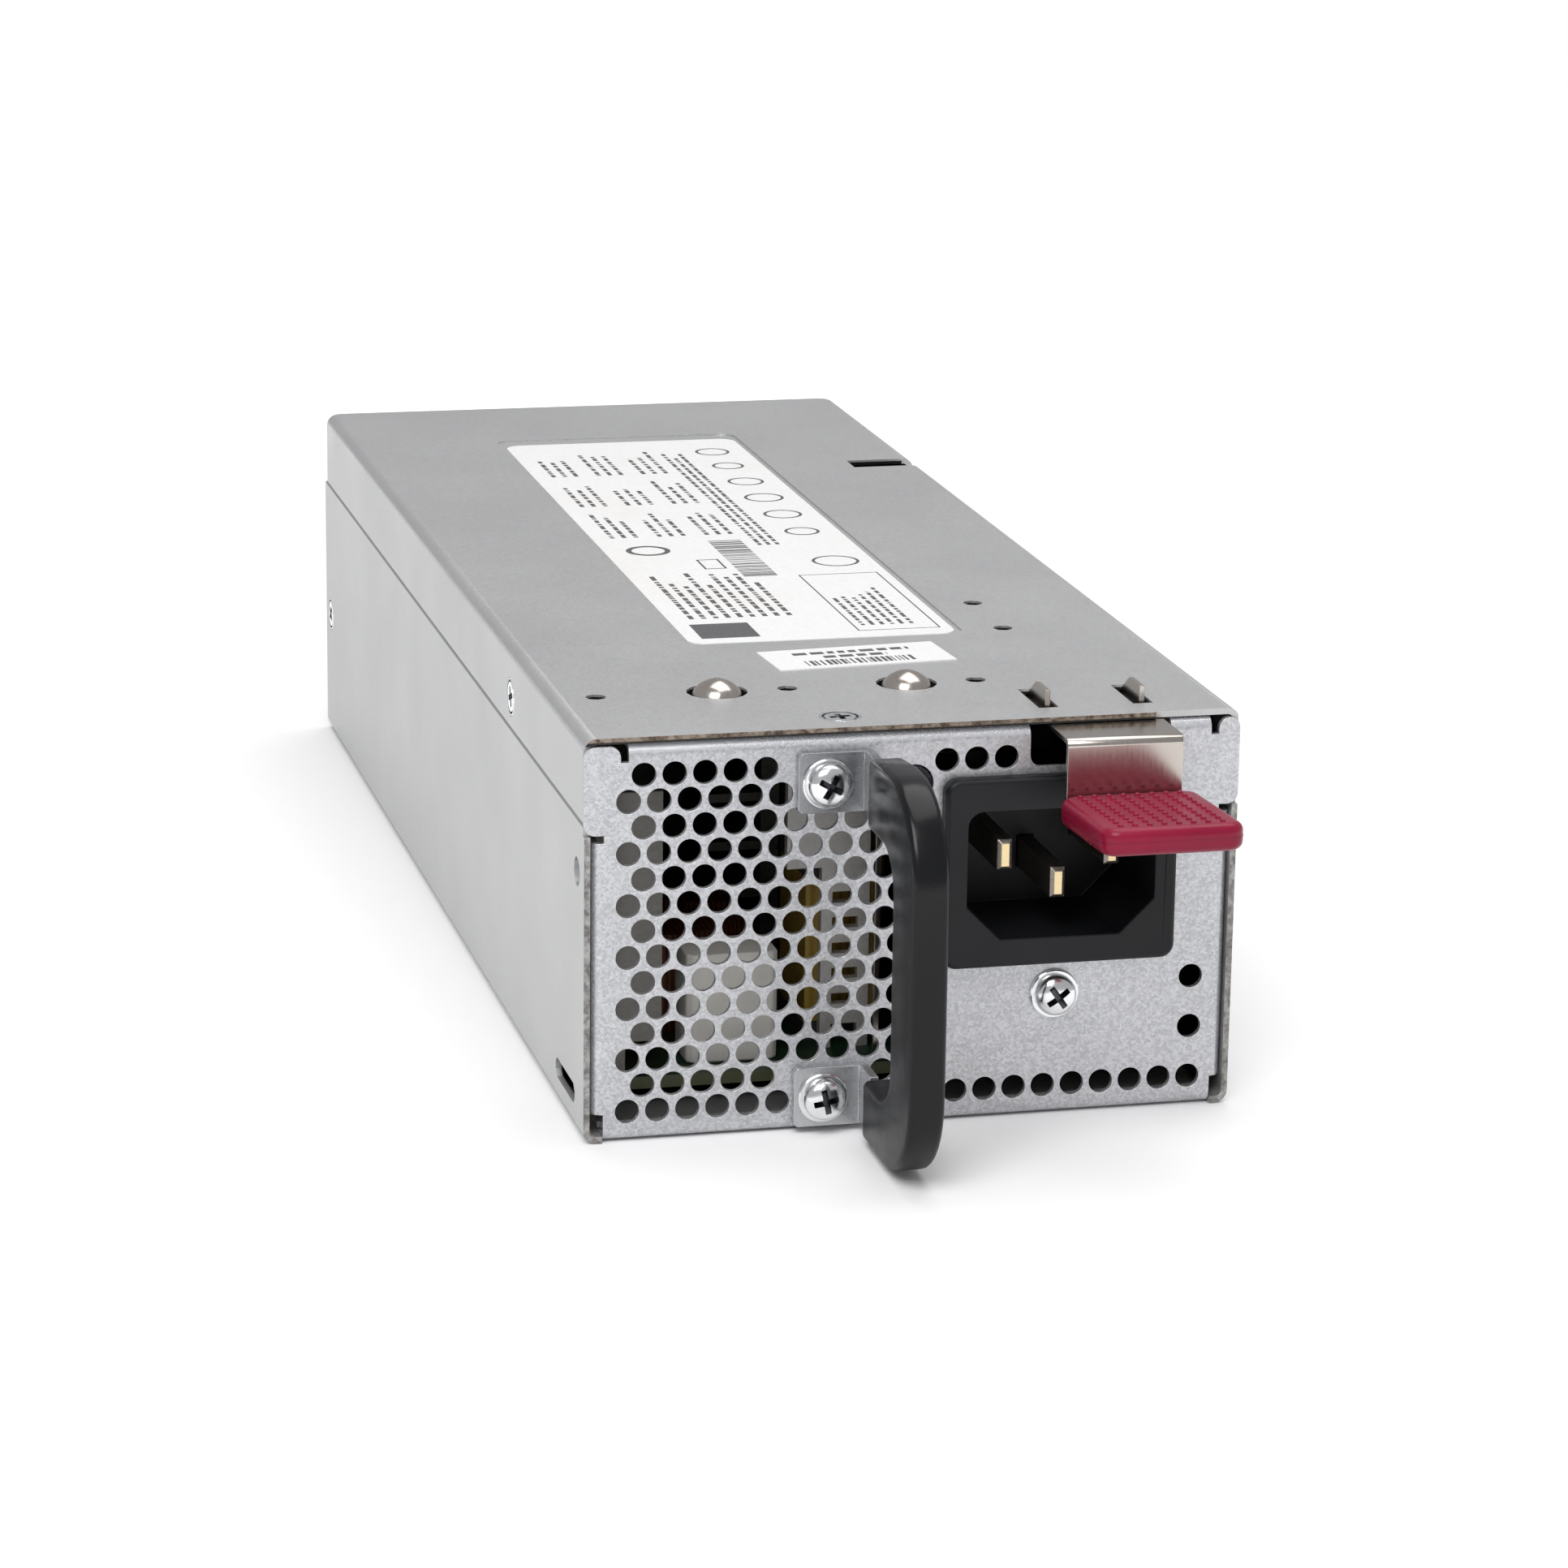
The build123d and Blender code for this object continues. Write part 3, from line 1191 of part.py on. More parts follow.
def output_capacitors():
    return [
        can_capacitor(OUTPUT_RADIUS, OUTPUT_HEIGHT, OUTPUT_FLAT_COUNT, OUTPUT_X1 - column * OUTPUT_PITCH, y)
        for y in (OUTPUT_Y, OUTPUT_Y + OUTPUT_ROW_PITCH) for column in range(OUTPUT_COLUMNS)
    ]


def finned_sink(x, y0, y1):
    """Extruded heat sink: an upright plate with fins to its left."""
    plate = Pos(x - SINK_PLATE / 2, (BOARD_TOP + FIN_TOP) / 2) * Rectangle(SINK_PLATE, FIN_TOP - BOARD_TOP)
    spacing = (FIN_TOP - SINK_LOW) / FINS
    for i in range(FINS):
        z = SINK_LOW + (i + 0.5) * spacing
        plate += Pos(x - SINK_PLATE - FIN_LENGTH / 2, z) * Rectangle(FIN_LENGTH, FIN_THICKNESS)
    return along_y(plate, y0, y1)


def primary_heat_sink():
    return finned_sink(SINK_FACE_X, *PRIMARY_SINK_Y)


def secondary_heat_sink():
    return finned_sink(SINK_FACE_X, *SECONDARY_SINK_Y)


def power_transistors():
    """Flat transistors against the heat sinks, each on three legs."""
    width, depth, height = TRANSISTOR
    pieces = []
    fronts = (PRIMARY_SINK_Y[0], SECONDARY_SINK_Y[0])
    for y in [front + place for front in fronts for place in TRANSISTOR_PLACES]:
        x = SINK_FACE_X + width / 2
        body = standing(TRANSISTOR, (x, y), SINK_LOW)
        for side in (-1, 0, 1):
            leg = (TRANSISTOR_LEG, TRANSISTOR_LEG, SINK_LOW - BOARD_TOP)
            body += standing(leg, (x, y + side * TRANSISTOR_PITCH))
        pieces.append(body)
    return pieces


def transformer_core():
    """Pair of E cores: a frame with a middle leg."""
    width, depth, height = TRANSFORMER
    x, y = TRANSFORMER_AT
    face = Rectangle(width, height)
    window = Rectangle(core_window(), height - 2 * CORE_LEG)
    for side in (-1, 1):
        face -= Pos(side * (CORE_LEG + core_window() / 2), 0) * window
    return along_y(Pos(x, BOARD_TOP + height / 2) * face, y - depth / 2, y + depth / 2)


def core_window():
    return (TRANSFORMER[0] - 4 * CORE_LEG) / 2


def transformer_winding():
    """Taped winding around the middle leg, wider than the core is deep."""
    width, depth, height = TRANSFORMER
    tall = height - 2 * CORE_LEG - 2 * LAP
    base = BOARD_TOP + CORE_LEG + LAP
    outer = (2 * (CORE_LEG + core_window() - LAP), depth + 2 * WINDING_BULGE, tall)
    wound = chamfer(standing(outer, TRANSFORMER_AT, base).edges().filter_by(Axis.Z), WINDING_BULGE)
    return wound - standing((2 * (CORE_LEG + LAP), depth + 2 * LAP, tall), TRANSFORMER_AT, base)


def control_board():
    """Small upright board with the control circuits."""
    return standing(CONTROL_BOARD, CONTROL_BOARD_AT)


# Fan
def fan_origin():
    """Rear face of the fan, against the rear panel, at the axis; local Z points forward."""
    return Pos(FAN_X, LENGTH - STEP - SHEET, FAN_Z) * Rot(90, 0, 0)


def fan_frame():
    """Square flanges joined by a round duct, with the motor's seat and bearing on four struts."""
    plate = chamfer(Rectangle(FAN, FAN).vertices(), FAN_CORNER)
    for place in GridLocations(FAN_HOLE_PITCH, FAN_HOLE_PITCH, 2, 2):
        plate -= place * small_hole()
    frame = extrude(plate, FAN_FLANGE)
    frame += Pos(0, 0, FAN_DEPTH - FAN_FLANGE) * extrude(plate, FAN_FLANGE)
    frame += extrude(RegularPolygon(FAN_BORE + FAN_TUBE_WALL, BORE_FLAT_COUNT), FAN_DEPTH)
    frame -= extrude(RegularPolygon(FAN_BORE, BORE_FLAT_COUNT), FAN_DEPTH)
    seat = RegularPolygon(HUB_RADIUS, BORE_FLAT_COUNT)
    for turn in (45, 135):
        seat += Rot(0, 0, turn) * Rectangle(STRUT_WIDTH, 2 * FAN_BORE + FAN_TUBE_WALL)
    frame += extrude(seat, STATOR)
    bearing = FAN_SHAFT + BEARING_CLEARANCE + BEARING_WALL
    frame += extrude(RegularPolygon(bearing, HEAD_FLAT_COUNT), FAN_DEPTH - FAN_END_GAP - 3 * HUB_WALL)
    frame -= extrude(Circle(FAN_SHAFT + BEARING_CLEARANCE), FAN_DEPTH)
    return fan_origin() * frame


def fan_blade():
    """Pitched blade from the hub outwards, before it is trimmed to the duct."""
    section = Rot(0, 0, BLADE_ANGLE) * Rectangle(BLADE_CHORD, BLADE_THICKNESS)
    return along_x(section, HUB_RADIUS - HUB_WALL / 2, FAN_BORE + 1)


def fan_rotor():
    """Hub cup with its blades and shaft."""
    z0, z1 = STATOR + FAN_END_GAP, FAN_DEPTH - FAN_END_GAP
    cup = extrude(RegularPolygon(HUB_RADIUS, BORE_FLAT_COUNT), z1 - z0)
    cup -= extrude(RegularPolygon(HUB_RADIUS - HUB_WALL, BORE_FLAT_COUNT), z1 - z0 - HUB_WALL)
    rotor = Pos(0, 0, z0) * cup
    blade = Pos(0, 0, (z0 + z1) / 2) * fan_blade()
    reach = RegularPolygon(FAN_BORE - BLADE_CLEARANCE, BORE_FLAT_COUNT, major_radius=False)
    core = RegularPolygon(HUB_RADIUS - HUB_WALL / 2, BORE_FLAT_COUNT)
    swept = Pos(0, 0, z0) * extrude(reach - core, z1 - z0)
    for i in range(BLADES):
        rotor += Rot(0, 0, i * 360 / BLADES) * blade & swept
    rotor += Pos(0, 0, 1) * extrude(Circle(FAN_SHAFT), z1 - 1)
    return fan_origin() * rotor


def fan_screws():
    """Screws from the rear through the rear panel into the fan."""
    rear = Pos(FAN_X, LENGTH - STEP, FAN_Z) * Rot(-90, 0, 0)
    places = GridLocations(FAN_HOLE_PITCH, FAN_HOLE_PITCH, 2, 2)
    return [rear * place * pan_screw(SCREW_LENGTH) for place in places]


PARTS = [
    chassis_tray, top_cover, front_panel, rear_panel, cover_screws, rear_screws, rating_label, asset_label,
    ac_inlet, inlet_pins, inlet_ground_screw, ground_washer,
    handle, handle_bracket_lower, handle_bracket_upper, handle_screws, handle_washers,
    latch_arm, latch_anchor, latch_grip, contact_strip, contact_spring_left, contact_spring_right,
    status_led, led_leads,
    main_board, board_standoffs, board_screws, insulator_sheet, edge_contacts,
    filter_capacitor, filter_heat_sink, slotted_heat_sink, filter_choke_core, filter_choke_winding,
    line_choke_core, line_choke_winding, boost_choke_core, boost_choke_winding, bulk_capacitors,
    primary_heat_sink, power_transistors, transformer_core, transformer_winding, secondary_heat_sink,
    output_capacitors, output_choke_core, output_choke_winding, control_board,
    fan_frame, fan_rotor, fan_screws,
]

os.makedirs("parts", exist_ok=True)
for build in PARTS:
    made = build()
    pieces = made if isinstance(made, list) else [made]
    moved = [Pos(0, -LENGTH / 2, 0) * piece for piece in pieces]
    shape = moved[0] if len(moved) == 1 else Compound(children=[s for piece in moved for s in piece.solids()])
    export_step(shape, f"parts/{build.__name__}.step")
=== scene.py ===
"""Looks of the hot swap server power supply: materials, light, camera and the finely shaped pieces.

Lengths in the shapes below are millimetres in the drawn frame: X to the right, Y from the front panel
to the rear and Z up. place() turns them into the metres of the shared frame.
"""

import json
import math
import random

import bmesh
import bpy
import numpy as np
from mathutils import Matrix, Vector
from mathutils.geometry import delaunay_2d_cdt

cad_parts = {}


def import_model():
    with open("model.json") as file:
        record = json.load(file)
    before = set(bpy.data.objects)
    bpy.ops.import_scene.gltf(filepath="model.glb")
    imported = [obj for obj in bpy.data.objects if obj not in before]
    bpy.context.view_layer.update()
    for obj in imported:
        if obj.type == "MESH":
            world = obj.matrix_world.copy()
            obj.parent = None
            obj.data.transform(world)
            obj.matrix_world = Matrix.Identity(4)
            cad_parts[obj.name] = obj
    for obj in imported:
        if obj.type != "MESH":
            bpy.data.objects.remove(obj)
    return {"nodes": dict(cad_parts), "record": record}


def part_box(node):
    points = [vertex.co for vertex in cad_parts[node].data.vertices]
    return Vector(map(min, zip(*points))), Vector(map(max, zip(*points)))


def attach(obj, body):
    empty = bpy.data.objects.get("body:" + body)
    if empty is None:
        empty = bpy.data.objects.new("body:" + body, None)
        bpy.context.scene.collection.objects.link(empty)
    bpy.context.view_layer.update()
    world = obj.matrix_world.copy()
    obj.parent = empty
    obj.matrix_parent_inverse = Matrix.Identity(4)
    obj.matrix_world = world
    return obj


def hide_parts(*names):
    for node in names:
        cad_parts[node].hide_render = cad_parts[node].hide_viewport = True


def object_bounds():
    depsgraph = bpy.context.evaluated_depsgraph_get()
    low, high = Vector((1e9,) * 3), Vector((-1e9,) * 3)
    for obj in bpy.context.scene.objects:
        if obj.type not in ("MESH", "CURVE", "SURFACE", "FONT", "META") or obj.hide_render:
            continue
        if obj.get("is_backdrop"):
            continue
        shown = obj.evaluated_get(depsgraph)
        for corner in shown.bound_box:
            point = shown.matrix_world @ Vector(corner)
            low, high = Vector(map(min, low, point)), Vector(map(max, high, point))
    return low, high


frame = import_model()
box_at_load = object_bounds()

MM = 0.001
FRONT = -106.25  # the front panel's outer face along Y in the shared frame

# Case: sheet, bends, heights and half widths
SHEET = 0.8
BEND = 1.6
BEND_STEPS = 6
COVER_TOP = 52.2
COVER_UNDERSIDE = 51.3
CASE_HALF = 42.2
PLATE_HALF = 39.7
FOLD_DEPTH = 9.0
CORNER_HEIGHT = 3.6
SIDE_FOLD_TOP = 38.8
EAR_BOTTOM = 39.8
EAR_TOP = 51.1
EAR_RADIUS = 1.4
NARROW_EAR_RADIUS = 1.39  # just under half the right ear's width
EAR_LEFT = 37.6
EAR_RIGHT = 39.4
RELIEF = 1.0
RELIEF_BOTTOM = 49.0
GAP_LEFT = 14.7
GAP_RIGHT = 33.1
GAP_BOTTOM = 45.9
GAP_RADIUS = 1.5

# Edges of the cover's sheet, as depths below its top, and the rim that its holes keep clear of. Painted
# shade darkens the front edge's lower part and the hole walls below the lip.
COVER_FROM = COVER_UNDERSIDE - 0.2
CUT_DEPTH = 0.03
EDGE_SHADE_FROM = 0.58
EDGE_SHADE_TO = 0.50
LIP = 0.32
RIM = 1.8

# Perforation
PITCH = 3.86
ROW_PITCH = 3.343
HOLE_RADIUS = 1.55
HOLE_STEPS = 24
ROWS = 14
GRID_X = -36.63
GRID_Z = 3.89
GRILLE_RIGHT = 0.0
COLUMN_LEFT = 36.0
COLUMN_LOW = 9.0
COLUMN_HIGH = 18.0
BRACKET_LEFT = -16.13
BRACKET_RIGHT = -4.15
BRACKET_Z = (4.6, 45.5)
BRACKET_HALF_HEIGHT = 3.9

# Inlet and light of the front
INLET_X = 18.55
INLET_Z = 32.8
INLET_HOLE = (26.6, 20.8)
INLET_TOP = 45.1
LED = (-0.3, 44.5)
LED_RADIUS = 2.4
LED_PLAY = 0.08
LED_STEPS = 32

# Screws and washers, with the driver recess as (half span, depth) and the crown as two exponents
SHANK = 1.45
PAN_RADIUS = 2.7
PAN_HEIGHT = 1.9
PAN_LENGTH = 6.0
PAN_STEPS = 8
PAN_CROWN = (0.9, 0.62)
PAN_RECESS = (2.0, 1.4)
FLAT_TOP = ((0, 0), (2.0, 0), (2.08, -0.2), (2.26, -0.2), (2.34, 0))
FLAT_RADIUS = 2.6
FLAT_EDGE = 0.1
FLAT_HEIGHT = 0.75
FLAT_LENGTH = 2.4
FLAT_RECESS = (1.7, 0.6)
CROSS_WIDE = 0.42
CROSS_NARROW = 0.3
CROSS_TAPER = 0.4
CROSS_RISE = 0.3
WASHER_RADIUS = 3.2
WASHER = 0.6
WASHER_EDGE = 0.12
GROUND_SCREW = (18.55, 16.1)
BRACKET_SCREW_X = -11.8
BRACKET_SHEET = 1.2
COVER_SCREW = (-8.6, 5.4)
FLANGE_SCREW = (49.25, 45.4)
REAR_SCREW = (208.0, 19.9)
FAN_CENTRE = (-19.4, 27.6)
FAN_SCREW_REACH = 16.0
REAR_FACE = 211.6

# Directions in which a screw's head looks
TO_LEFT = (-1, 0, 0)
TO_RIGHT = (1, 0, 0)
TO_FRONT = (0, -1, 0)
TO_REAR = (0, 1, 0)
TO_TOP = (0, 0, 1)

# Handle, its outline as (y, z, corner radius)
HANDLE_X = -5.7
HANDLE_HALF = 2.3
HANDLE_EDGE = 0.85
HANDLE_OUTLINE = (
    (-6.3, 0.6, 0), (-6.3, 8.35, 0), (-19.0, 8.35, 5.5), (-19.0, 40.8, 5.5), (-6.3, 40.8, 0),
    (-6.3, 49.8, 0), (-13.0, 50.5, 6.0), (-29.0, 50.3, 12.5), (-29.0, 0.6, 12.0),
)

# Grip, and the profile of its studs as (radius, height)
GRIP_LEFT = 15.7
GRIP_RIGHT = 33.8
GRIP_FRONT = -28.7
GRIP_BACK = -8.1
GRIP_LOW = 40.8
GRIP_HIGH = 44.3
GRIP_TILT = 3.1
GRIP_EDGE = 1.1
GRIP_CORNER = 2.2
GRIP_REAR_CORNER = 3.0
SEAM_HALF = 0.06
SEAM_PROUD = 0.05
STUD = ((0, 0.3), (0.2, 0.28), (0.34, 0.17), (0.4, -0.05), (0, -0.05))
STUD_PITCH = 1.85
STUD_COLUMNS = 8
STUD_ROWS = 10
STUD_STEPS = 14

# Domed contacts
DOME_X = (-20.9, 4.0)
DOME_Y = 20.6
DOME_RADIUS = 3.3
DOME_TOP = 53.95
DOME_STEPS = 14
DOME_SIDES = 48
DOME_FLARE = 1.15
FINGER_CORNER = 0.6

# Inside: how far the filter plate's top is lowered, and the near-black film by the right wall, a sheet of
# painted shade
PLATE_DROP = 4.2
FILM_X = 39.3
FILM_SHEET = 0.2
FILM_OUTLINE = ((1.5, 1.2), (34.0, 1.2), (34.0, 24.0), (1.5, 24.0))

# Print of the labels: boxes as (left, right, front, rear), rings as (x, y, radius, line)
INK = 0.012
LABEL_FACE = 52.1
BOXES = ((5.2, 16.6, 50.0, 84.0, 0.22), (-6.8, -3.6, 90.0, 96.0, 0.3))
BLACK_BOX = (-16.4, -8.4, 49.2, 57.4)
BARCODE = (-2.4, 2.4, 84.5, 108.0)
BARCODE_BARS = (0.25, 0.4, 0.65)
BARCODE_GAPS = (0.25, 0.4, 0.6)
RINGS = (
    (12.6, 92, 3.4, 0.45), (12.6, 112, 2.6, 0.45), (12.6, 124, 2.9, 0.45), (12.6, 136, 3.0, 0.45),
    (12.6, 148, 2.8, 0.45), (12.6, 160, 2.5, 0.45), (12.6, 171, 2.7, 0.45), (-12.2, 103, 3.2, 0.8),
)
# Paragraphs as (left, line pitch, lines, front, shortest end, longest end, height, lines to a group)
PARAGRAPHS = (
    (6.4, 1.35, 6, 53.0, 66, 76, 0.55, 6),
    (-15.6, 1.7, 9, 60.5, 76, 88, 0.7, 9),
    (-15.8, 1.75, 11, 112, 122, 129, 0.65, 3),
    (-15.8, 1.75, 11, 134, 144, 151, 0.65, 3),
    (-15.8, 1.75, 11, 156, 166, 173, 0.65, 3),
    (4.2, 1.3, 3, 104, 150, 172, 0.6, 3),
)
RING_STEPS = 28
WORDS = (0.5, 2.6)
WORD_GAPS = (0.35, 0.9)
SMALL_LABEL_FACE = 52.35
SMALL_LABEL = (1.2, 35.5)
SMALL_LABEL_TURN = 4.4
SMALL_BARCODE = (-6.5, 8.5, 31.6, 34.2)
SMALL_BARS = (0.2, 0.3, 0.5)
SMALL_GAPS = (0.2, 0.3, 0.45)
SMALL_LINES = ((35.2, -3.2, 5.5), (37.4, -6.8, 9.2))
SMALL_LINE_HEIGHT = 1.2
SMALL_WORDS = (0.8, 2.0)
SMALL_WORD_GAP = 0.5

# Tolerances and roundings of the meshes
WELD = 0.002
FLAT_ANGLE = 0.5
SHARP_ANGLE = 35
ROUND_ANGLE = 40
SMOOTH_BELOW = 32
PANEL_EDGE = 0.1
PANEL_SHARP_ANGLE = 50
PANEL_SMOOTH_BELOW = 40

# Rounding of the edges of CAD nodes
SOFT_EDGES = {
    "chassis_tray": 0.12, "top_cover": 0.14, "rear_panel": 0.12, "handle_bracket_lower": 0.18,
    "handle_bracket_upper": 0.18, "ac_inlet": 0.3, "inlet_pins": 0.1, "latch_arm": 0.1,
    "latch_anchor": 0.08, "status_led": 0.3, "fan_frame": 0.3, "filter_capacitor": 0.4,
    "slotted_heat_sink": 0.15, "filter_heat_sink": 0.15, "fan_rotor": 0.2,
}

# Studio, in metres, and the camera's right, up and back directions
FLOOR_HALF = 0.85
FLOOR_GAP = 0.0002
FADE = (0.3, 0.55)
WORLD_GREY = (0.44, 0.44, 0.45)
LAMP_AIM = (0, -0.03, 0.03)
SOFTBOXES = {
    "key": ((-0.35, -0.75, 0.95), (0.7, 0.7), 9.0),
    "top": ((0.25, 0.15, 1.1), (0.9, 0.9), 5.4),
}
LENS = 116.24
SENSOR = 36.0
CAMERA_PLACE = (-0.16085, -0.69352, 0.20896)
CAMERA_AXES = ((0.97205, -0.23443, 0.01313), (0.04894, 0.25697, 0.96518), (-0.22964, -0.93756, 0.26125))

# Plain colours
WHITE = (1.0, 1.0, 1.0)
SHADOW = (0.02, 0.02, 0.02)


# Materials
class Shader:
    """A material under construction, with short calls for its nodes."""

    def __init__(self, name):
        self.material = bpy.data.materials.new(name)
        self.material.use_nodes = True
        self.tree = self.material.node_tree
        self.surface = self.tree.nodes["Principled BSDF"]
        self.coords = self.tree.nodes.new("ShaderNodeTexCoord").outputs["Object"]

    def add(self, kind, **inputs):
        """A new node, with its inputs given by name, in which _ stands for a space."""
        node = self.tree.nodes.new(kind)
        for name, value in inputs.items():
            self.feed(node.inputs[name.replace("_", " ")], value)
        return node

    def feed(self, socket, value):
        """Gives an input a value, or links it to another node's output."""
        if isinstance(value, bpy.types.NodeSocket):
            self.tree.links.new(value, socket)
        else:
            socket.default_value = value

    def set(self, name, value):
        """Gives an input of the surface a value or a link."""
        self.feed(self.surface.inputs[name], value)

    def stretched(self, scale):
        """Object coordinates scaled by axis, for patterns with a direction."""
        return self.add("ShaderNodeMapping", Vector=self.coords, Scale=scale).outputs["Vector"]

    def noise(self, scale, detail=3.0, roughness=0.55, vector=None):
        vector = self.coords if vector is None else vector
        node = self.add("ShaderNodeTexNoise", Vector=vector, Scale=scale, Detail=detail)
        self.feed(node.inputs["Roughness"], roughness)
        return node.outputs["Fac"]

    def cells(self, scale):
        return self.add("ShaderNodeTexVoronoi", Vector=self.coords, Scale=scale).outputs["Color"]

    def waves(self, scale):
        node = self.add("ShaderNodeTexWave", Vector=self.coords, Scale=scale, Distortion=0.6, Detail=2.0)
        return node.outputs["Fac"]

    def spread(self, value, low, high, out_low=0.0, out_high=1.0):
        """The value's range from low to high, stretched to the new range and held at its ends."""
        node = self.add("ShaderNodeMapRange", Value=value)
        limits = {"From Min": low, "From Max": high, "To Min": out_low, "To Max": out_high}
        for name, number in limits.items():
            self.feed(node.inputs[name], number)
        return node.outputs["Result"]

    def math(self, operation, a, b=0.0):
        node = self.tree.nodes.new("ShaderNodeMath")
        node.operation = operation
        self.feed(node.inputs[0], a)
        self.feed(node.inputs[1], b)
        return node.outputs[0]

    def mix(self, factor, a, b):
        node = self.tree.nodes.new("ShaderNodeMix")
        node.data_type = "RGBA"
        self.feed(node.inputs["Factor"], factor)
        self.feed(node.inputs["A"], a)
        self.feed(node.inputs["B"], b)
        return node.outputs["Result"]

    def bump(self, height, strength, depth=0.05):
        """Relief of the surface, with its depth in millimetres."""
        node = self.add("ShaderNodeBump", Height=height, Strength=strength, Distance=depth * MM)
        self.set("Normal", node.outputs["Normal"])

    def axis(self, source, name):
        return self.add("ShaderNodeSeparateXYZ", Vector=source).outputs[name]

    def normal_part(self, name):
        """How far the surface faces along an axis, from -1 to 1."""
        return self.axis(self.add("ShaderNodeNewGeometry").outputs["True Normal"], name)

    def openness(self, reach):
        """1 on open surfaces, falling towards 0 where something is close above."""
        node = self.add("ShaderNodeAmbientOcclusion", Distance=reach * MM)
        node.samples = 8
        return node.outputs["AO"]


def rgba(colour):
    return (*colour, 1.0)


def shade(colour, factor):
    return tuple(min(1.0, part * factor) for part in colour)


def cut_edge(shader, colour):
    """Sheared front edges: the cover's is rusty above with painted shade below, the tray's is bare."""
    y, z = shader.axis(shader.coords, "Y"), shader.axis(shader.coords, "Z")
    facing = shader.math("ABSOLUTE", shader.normal_part("Y"))
    near = shader.math("LESS_THAN", y, (FRONT + CUT_DEPTH) * MM)
    mask = shader.math("MULTIPLY", near, shader.math("GREATER_THAN", facing, 0.8))
    blotch = shader.spread(shader.noise(900.0, 5.0, 0.7), 0.38, 0.62)
    rust = shader.mix(blotch, rgba((0.07, 0.045, 0.03)), rgba((0.34, 0.28, 0.22)))
    bare = shader.mix(blotch, rgba((0.16, 0.15, 0.14)), rgba((0.46, 0.45, 0.43)))
    # Painted shade: the cover's edge turns near black below the rusty band.
    edge_shade = shader.spread(z, (COVER_TOP - EDGE_SHADE_FROM) * MM, (COVER_TOP - EDGE_SHADE_TO) * MM)
    edge = shader.mix(edge_shade, rgba((0.02, 0.018, 0.016)), rust)
    edge = shader.mix(shader.math("GREATER_THAN", z, COVER_FROM * MM), bare, edge)
    return shader.mix(mask, colour, edge), mask


def hole_wall_shade(shader, colour):
    """Walls of the holes and slots through the cover, in painted shade below their upper lip."""
    across = shader.math("ABSOLUTE", shader.axis(shader.coords, "X"))
    y, z = shader.axis(shader.coords, "Y"), shader.axis(shader.coords, "Z")
    upright = shader.math("LESS_THAN", shader.math("ABSOLUTE", shader.normal_part("Z")), 0.5)
    inside = shader.math("MULTIPLY", shader.math("LESS_THAN", across, (CASE_HALF - RIM) * MM),
                         shader.math("GREATER_THAN", y, (FRONT + RIM) * MM))
    deep = shader.math("MULTIPLY", shader.math("GREATER_THAN", z, COVER_FROM * MM),
                       shader.math("LESS_THAN", z, (COVER_TOP - LIP) * MM))
    # Painted shade on the upright walls within the cover's sheet, below the lip.
    wall = shader.math("MULTIPLY", upright, shader.math("MULTIPLY", inside, deep))
    return shader.mix(wall, colour, rgba(SHADOW))


def sheet_metal(
    name, colour, roughness, speckle, grain, bump, metallic=0.75, open_edges=False, bend_polish_and_sheen=False
):
    """Zinc-coated sheet: fine crystals, a soft cloudiness, faint handling marks. It can also take rust and
    painted shade on its cut edges and hole walls, and a painted highlight with a smoother finish on its
    upward bend.
    """
    shader = Shader(name)
    crystals = shader.axis(shader.cells(grain), "X")
    fine = shader.noise(grain * 1.7, 2.0, 0.6)
    cloud = shader.spread(shader.noise(45.0, 4.0, 0.55), 0.3, 0.7)
    sparkle = shader.math("ADD", shader.math("MULTIPLY", crystals, 0.6), shader.math("MULTIPLY", fine, 0.8))
    dim, lit = rgba(shade(colour, 1 - speckle)), rgba(shade(colour, 1 + speckle))
    base = shader.mix(shader.spread(sparkle, 0.25, 1.15), dim, lit)
    base = shader.mix(shader.math("MULTIPLY", cloud, 0.10), base, rgba(shade(colour, 0.86)))
    marks = shader.noise(1.0, 3.0, 0.6, shader.stretched((260.0, 2600.0, 900.0)))
    scratch = shader.spread(marks, 0.70, 0.76, 0.0, 0.35)
    base = shader.mix(scratch, base, rgba(shade(colour, 1.22)))
    rough = shader.math("ADD", shader.spread(cloud, 0, 1, roughness - 0.04, roughness + 0.05),
                        shader.math("MULTIPLY", crystals, 0.07))
    metal = metallic
    if bend_polish_and_sheen:
        # Painted highlight: the bend that turns upwards is lightened, and also made smoother.
        bent = shader.spread(shader.normal_part("Z"), 0.15, 0.45)
        base = shader.mix(bent, base, rgba(shade(colour, 1.4)))
        rough = shader.math("SUBTRACT", rough, shader.math("MULTIPLY", bent, 0.12))
    if open_edges:
        base, mask = cut_edge(shader, hole_wall_shade(shader, base))
        rough = shader.math("MAXIMUM", rough, shader.math("MULTIPLY", mask, 0.8))
        metal = shader.math("MULTIPLY", shader.math("SUBTRACT", 1.0, mask), metallic)
    shader.set("Base Color", base)
    shader.set("Roughness", rough)
    shader.set("Metallic", metal)
    shader.bump(sparkle, bump)
    return shader.material


def plated(name, colour, roughness):
    """Bright zinc plating of small fasteners."""
    shader = Shader(name)
    fine = shader.noise(1400.0, 3.0, 0.6)
    film = shader.spread(shader.noise(420.0, 3.0, 0.5), 0.35, 0.75, 0.0, 0.35)
    shader.set("Base Color", shader.mix(film, rgba(colour), rgba(shade(colour, 0.72))))
    shader.set("Metallic", 1.0)
    shader.set("Roughness", shader.spread(fine, 0.3, 0.7, roughness - 0.03, roughness + 0.08))
    shader.bump(fine, 0.12, 0.01)
    return shader.material


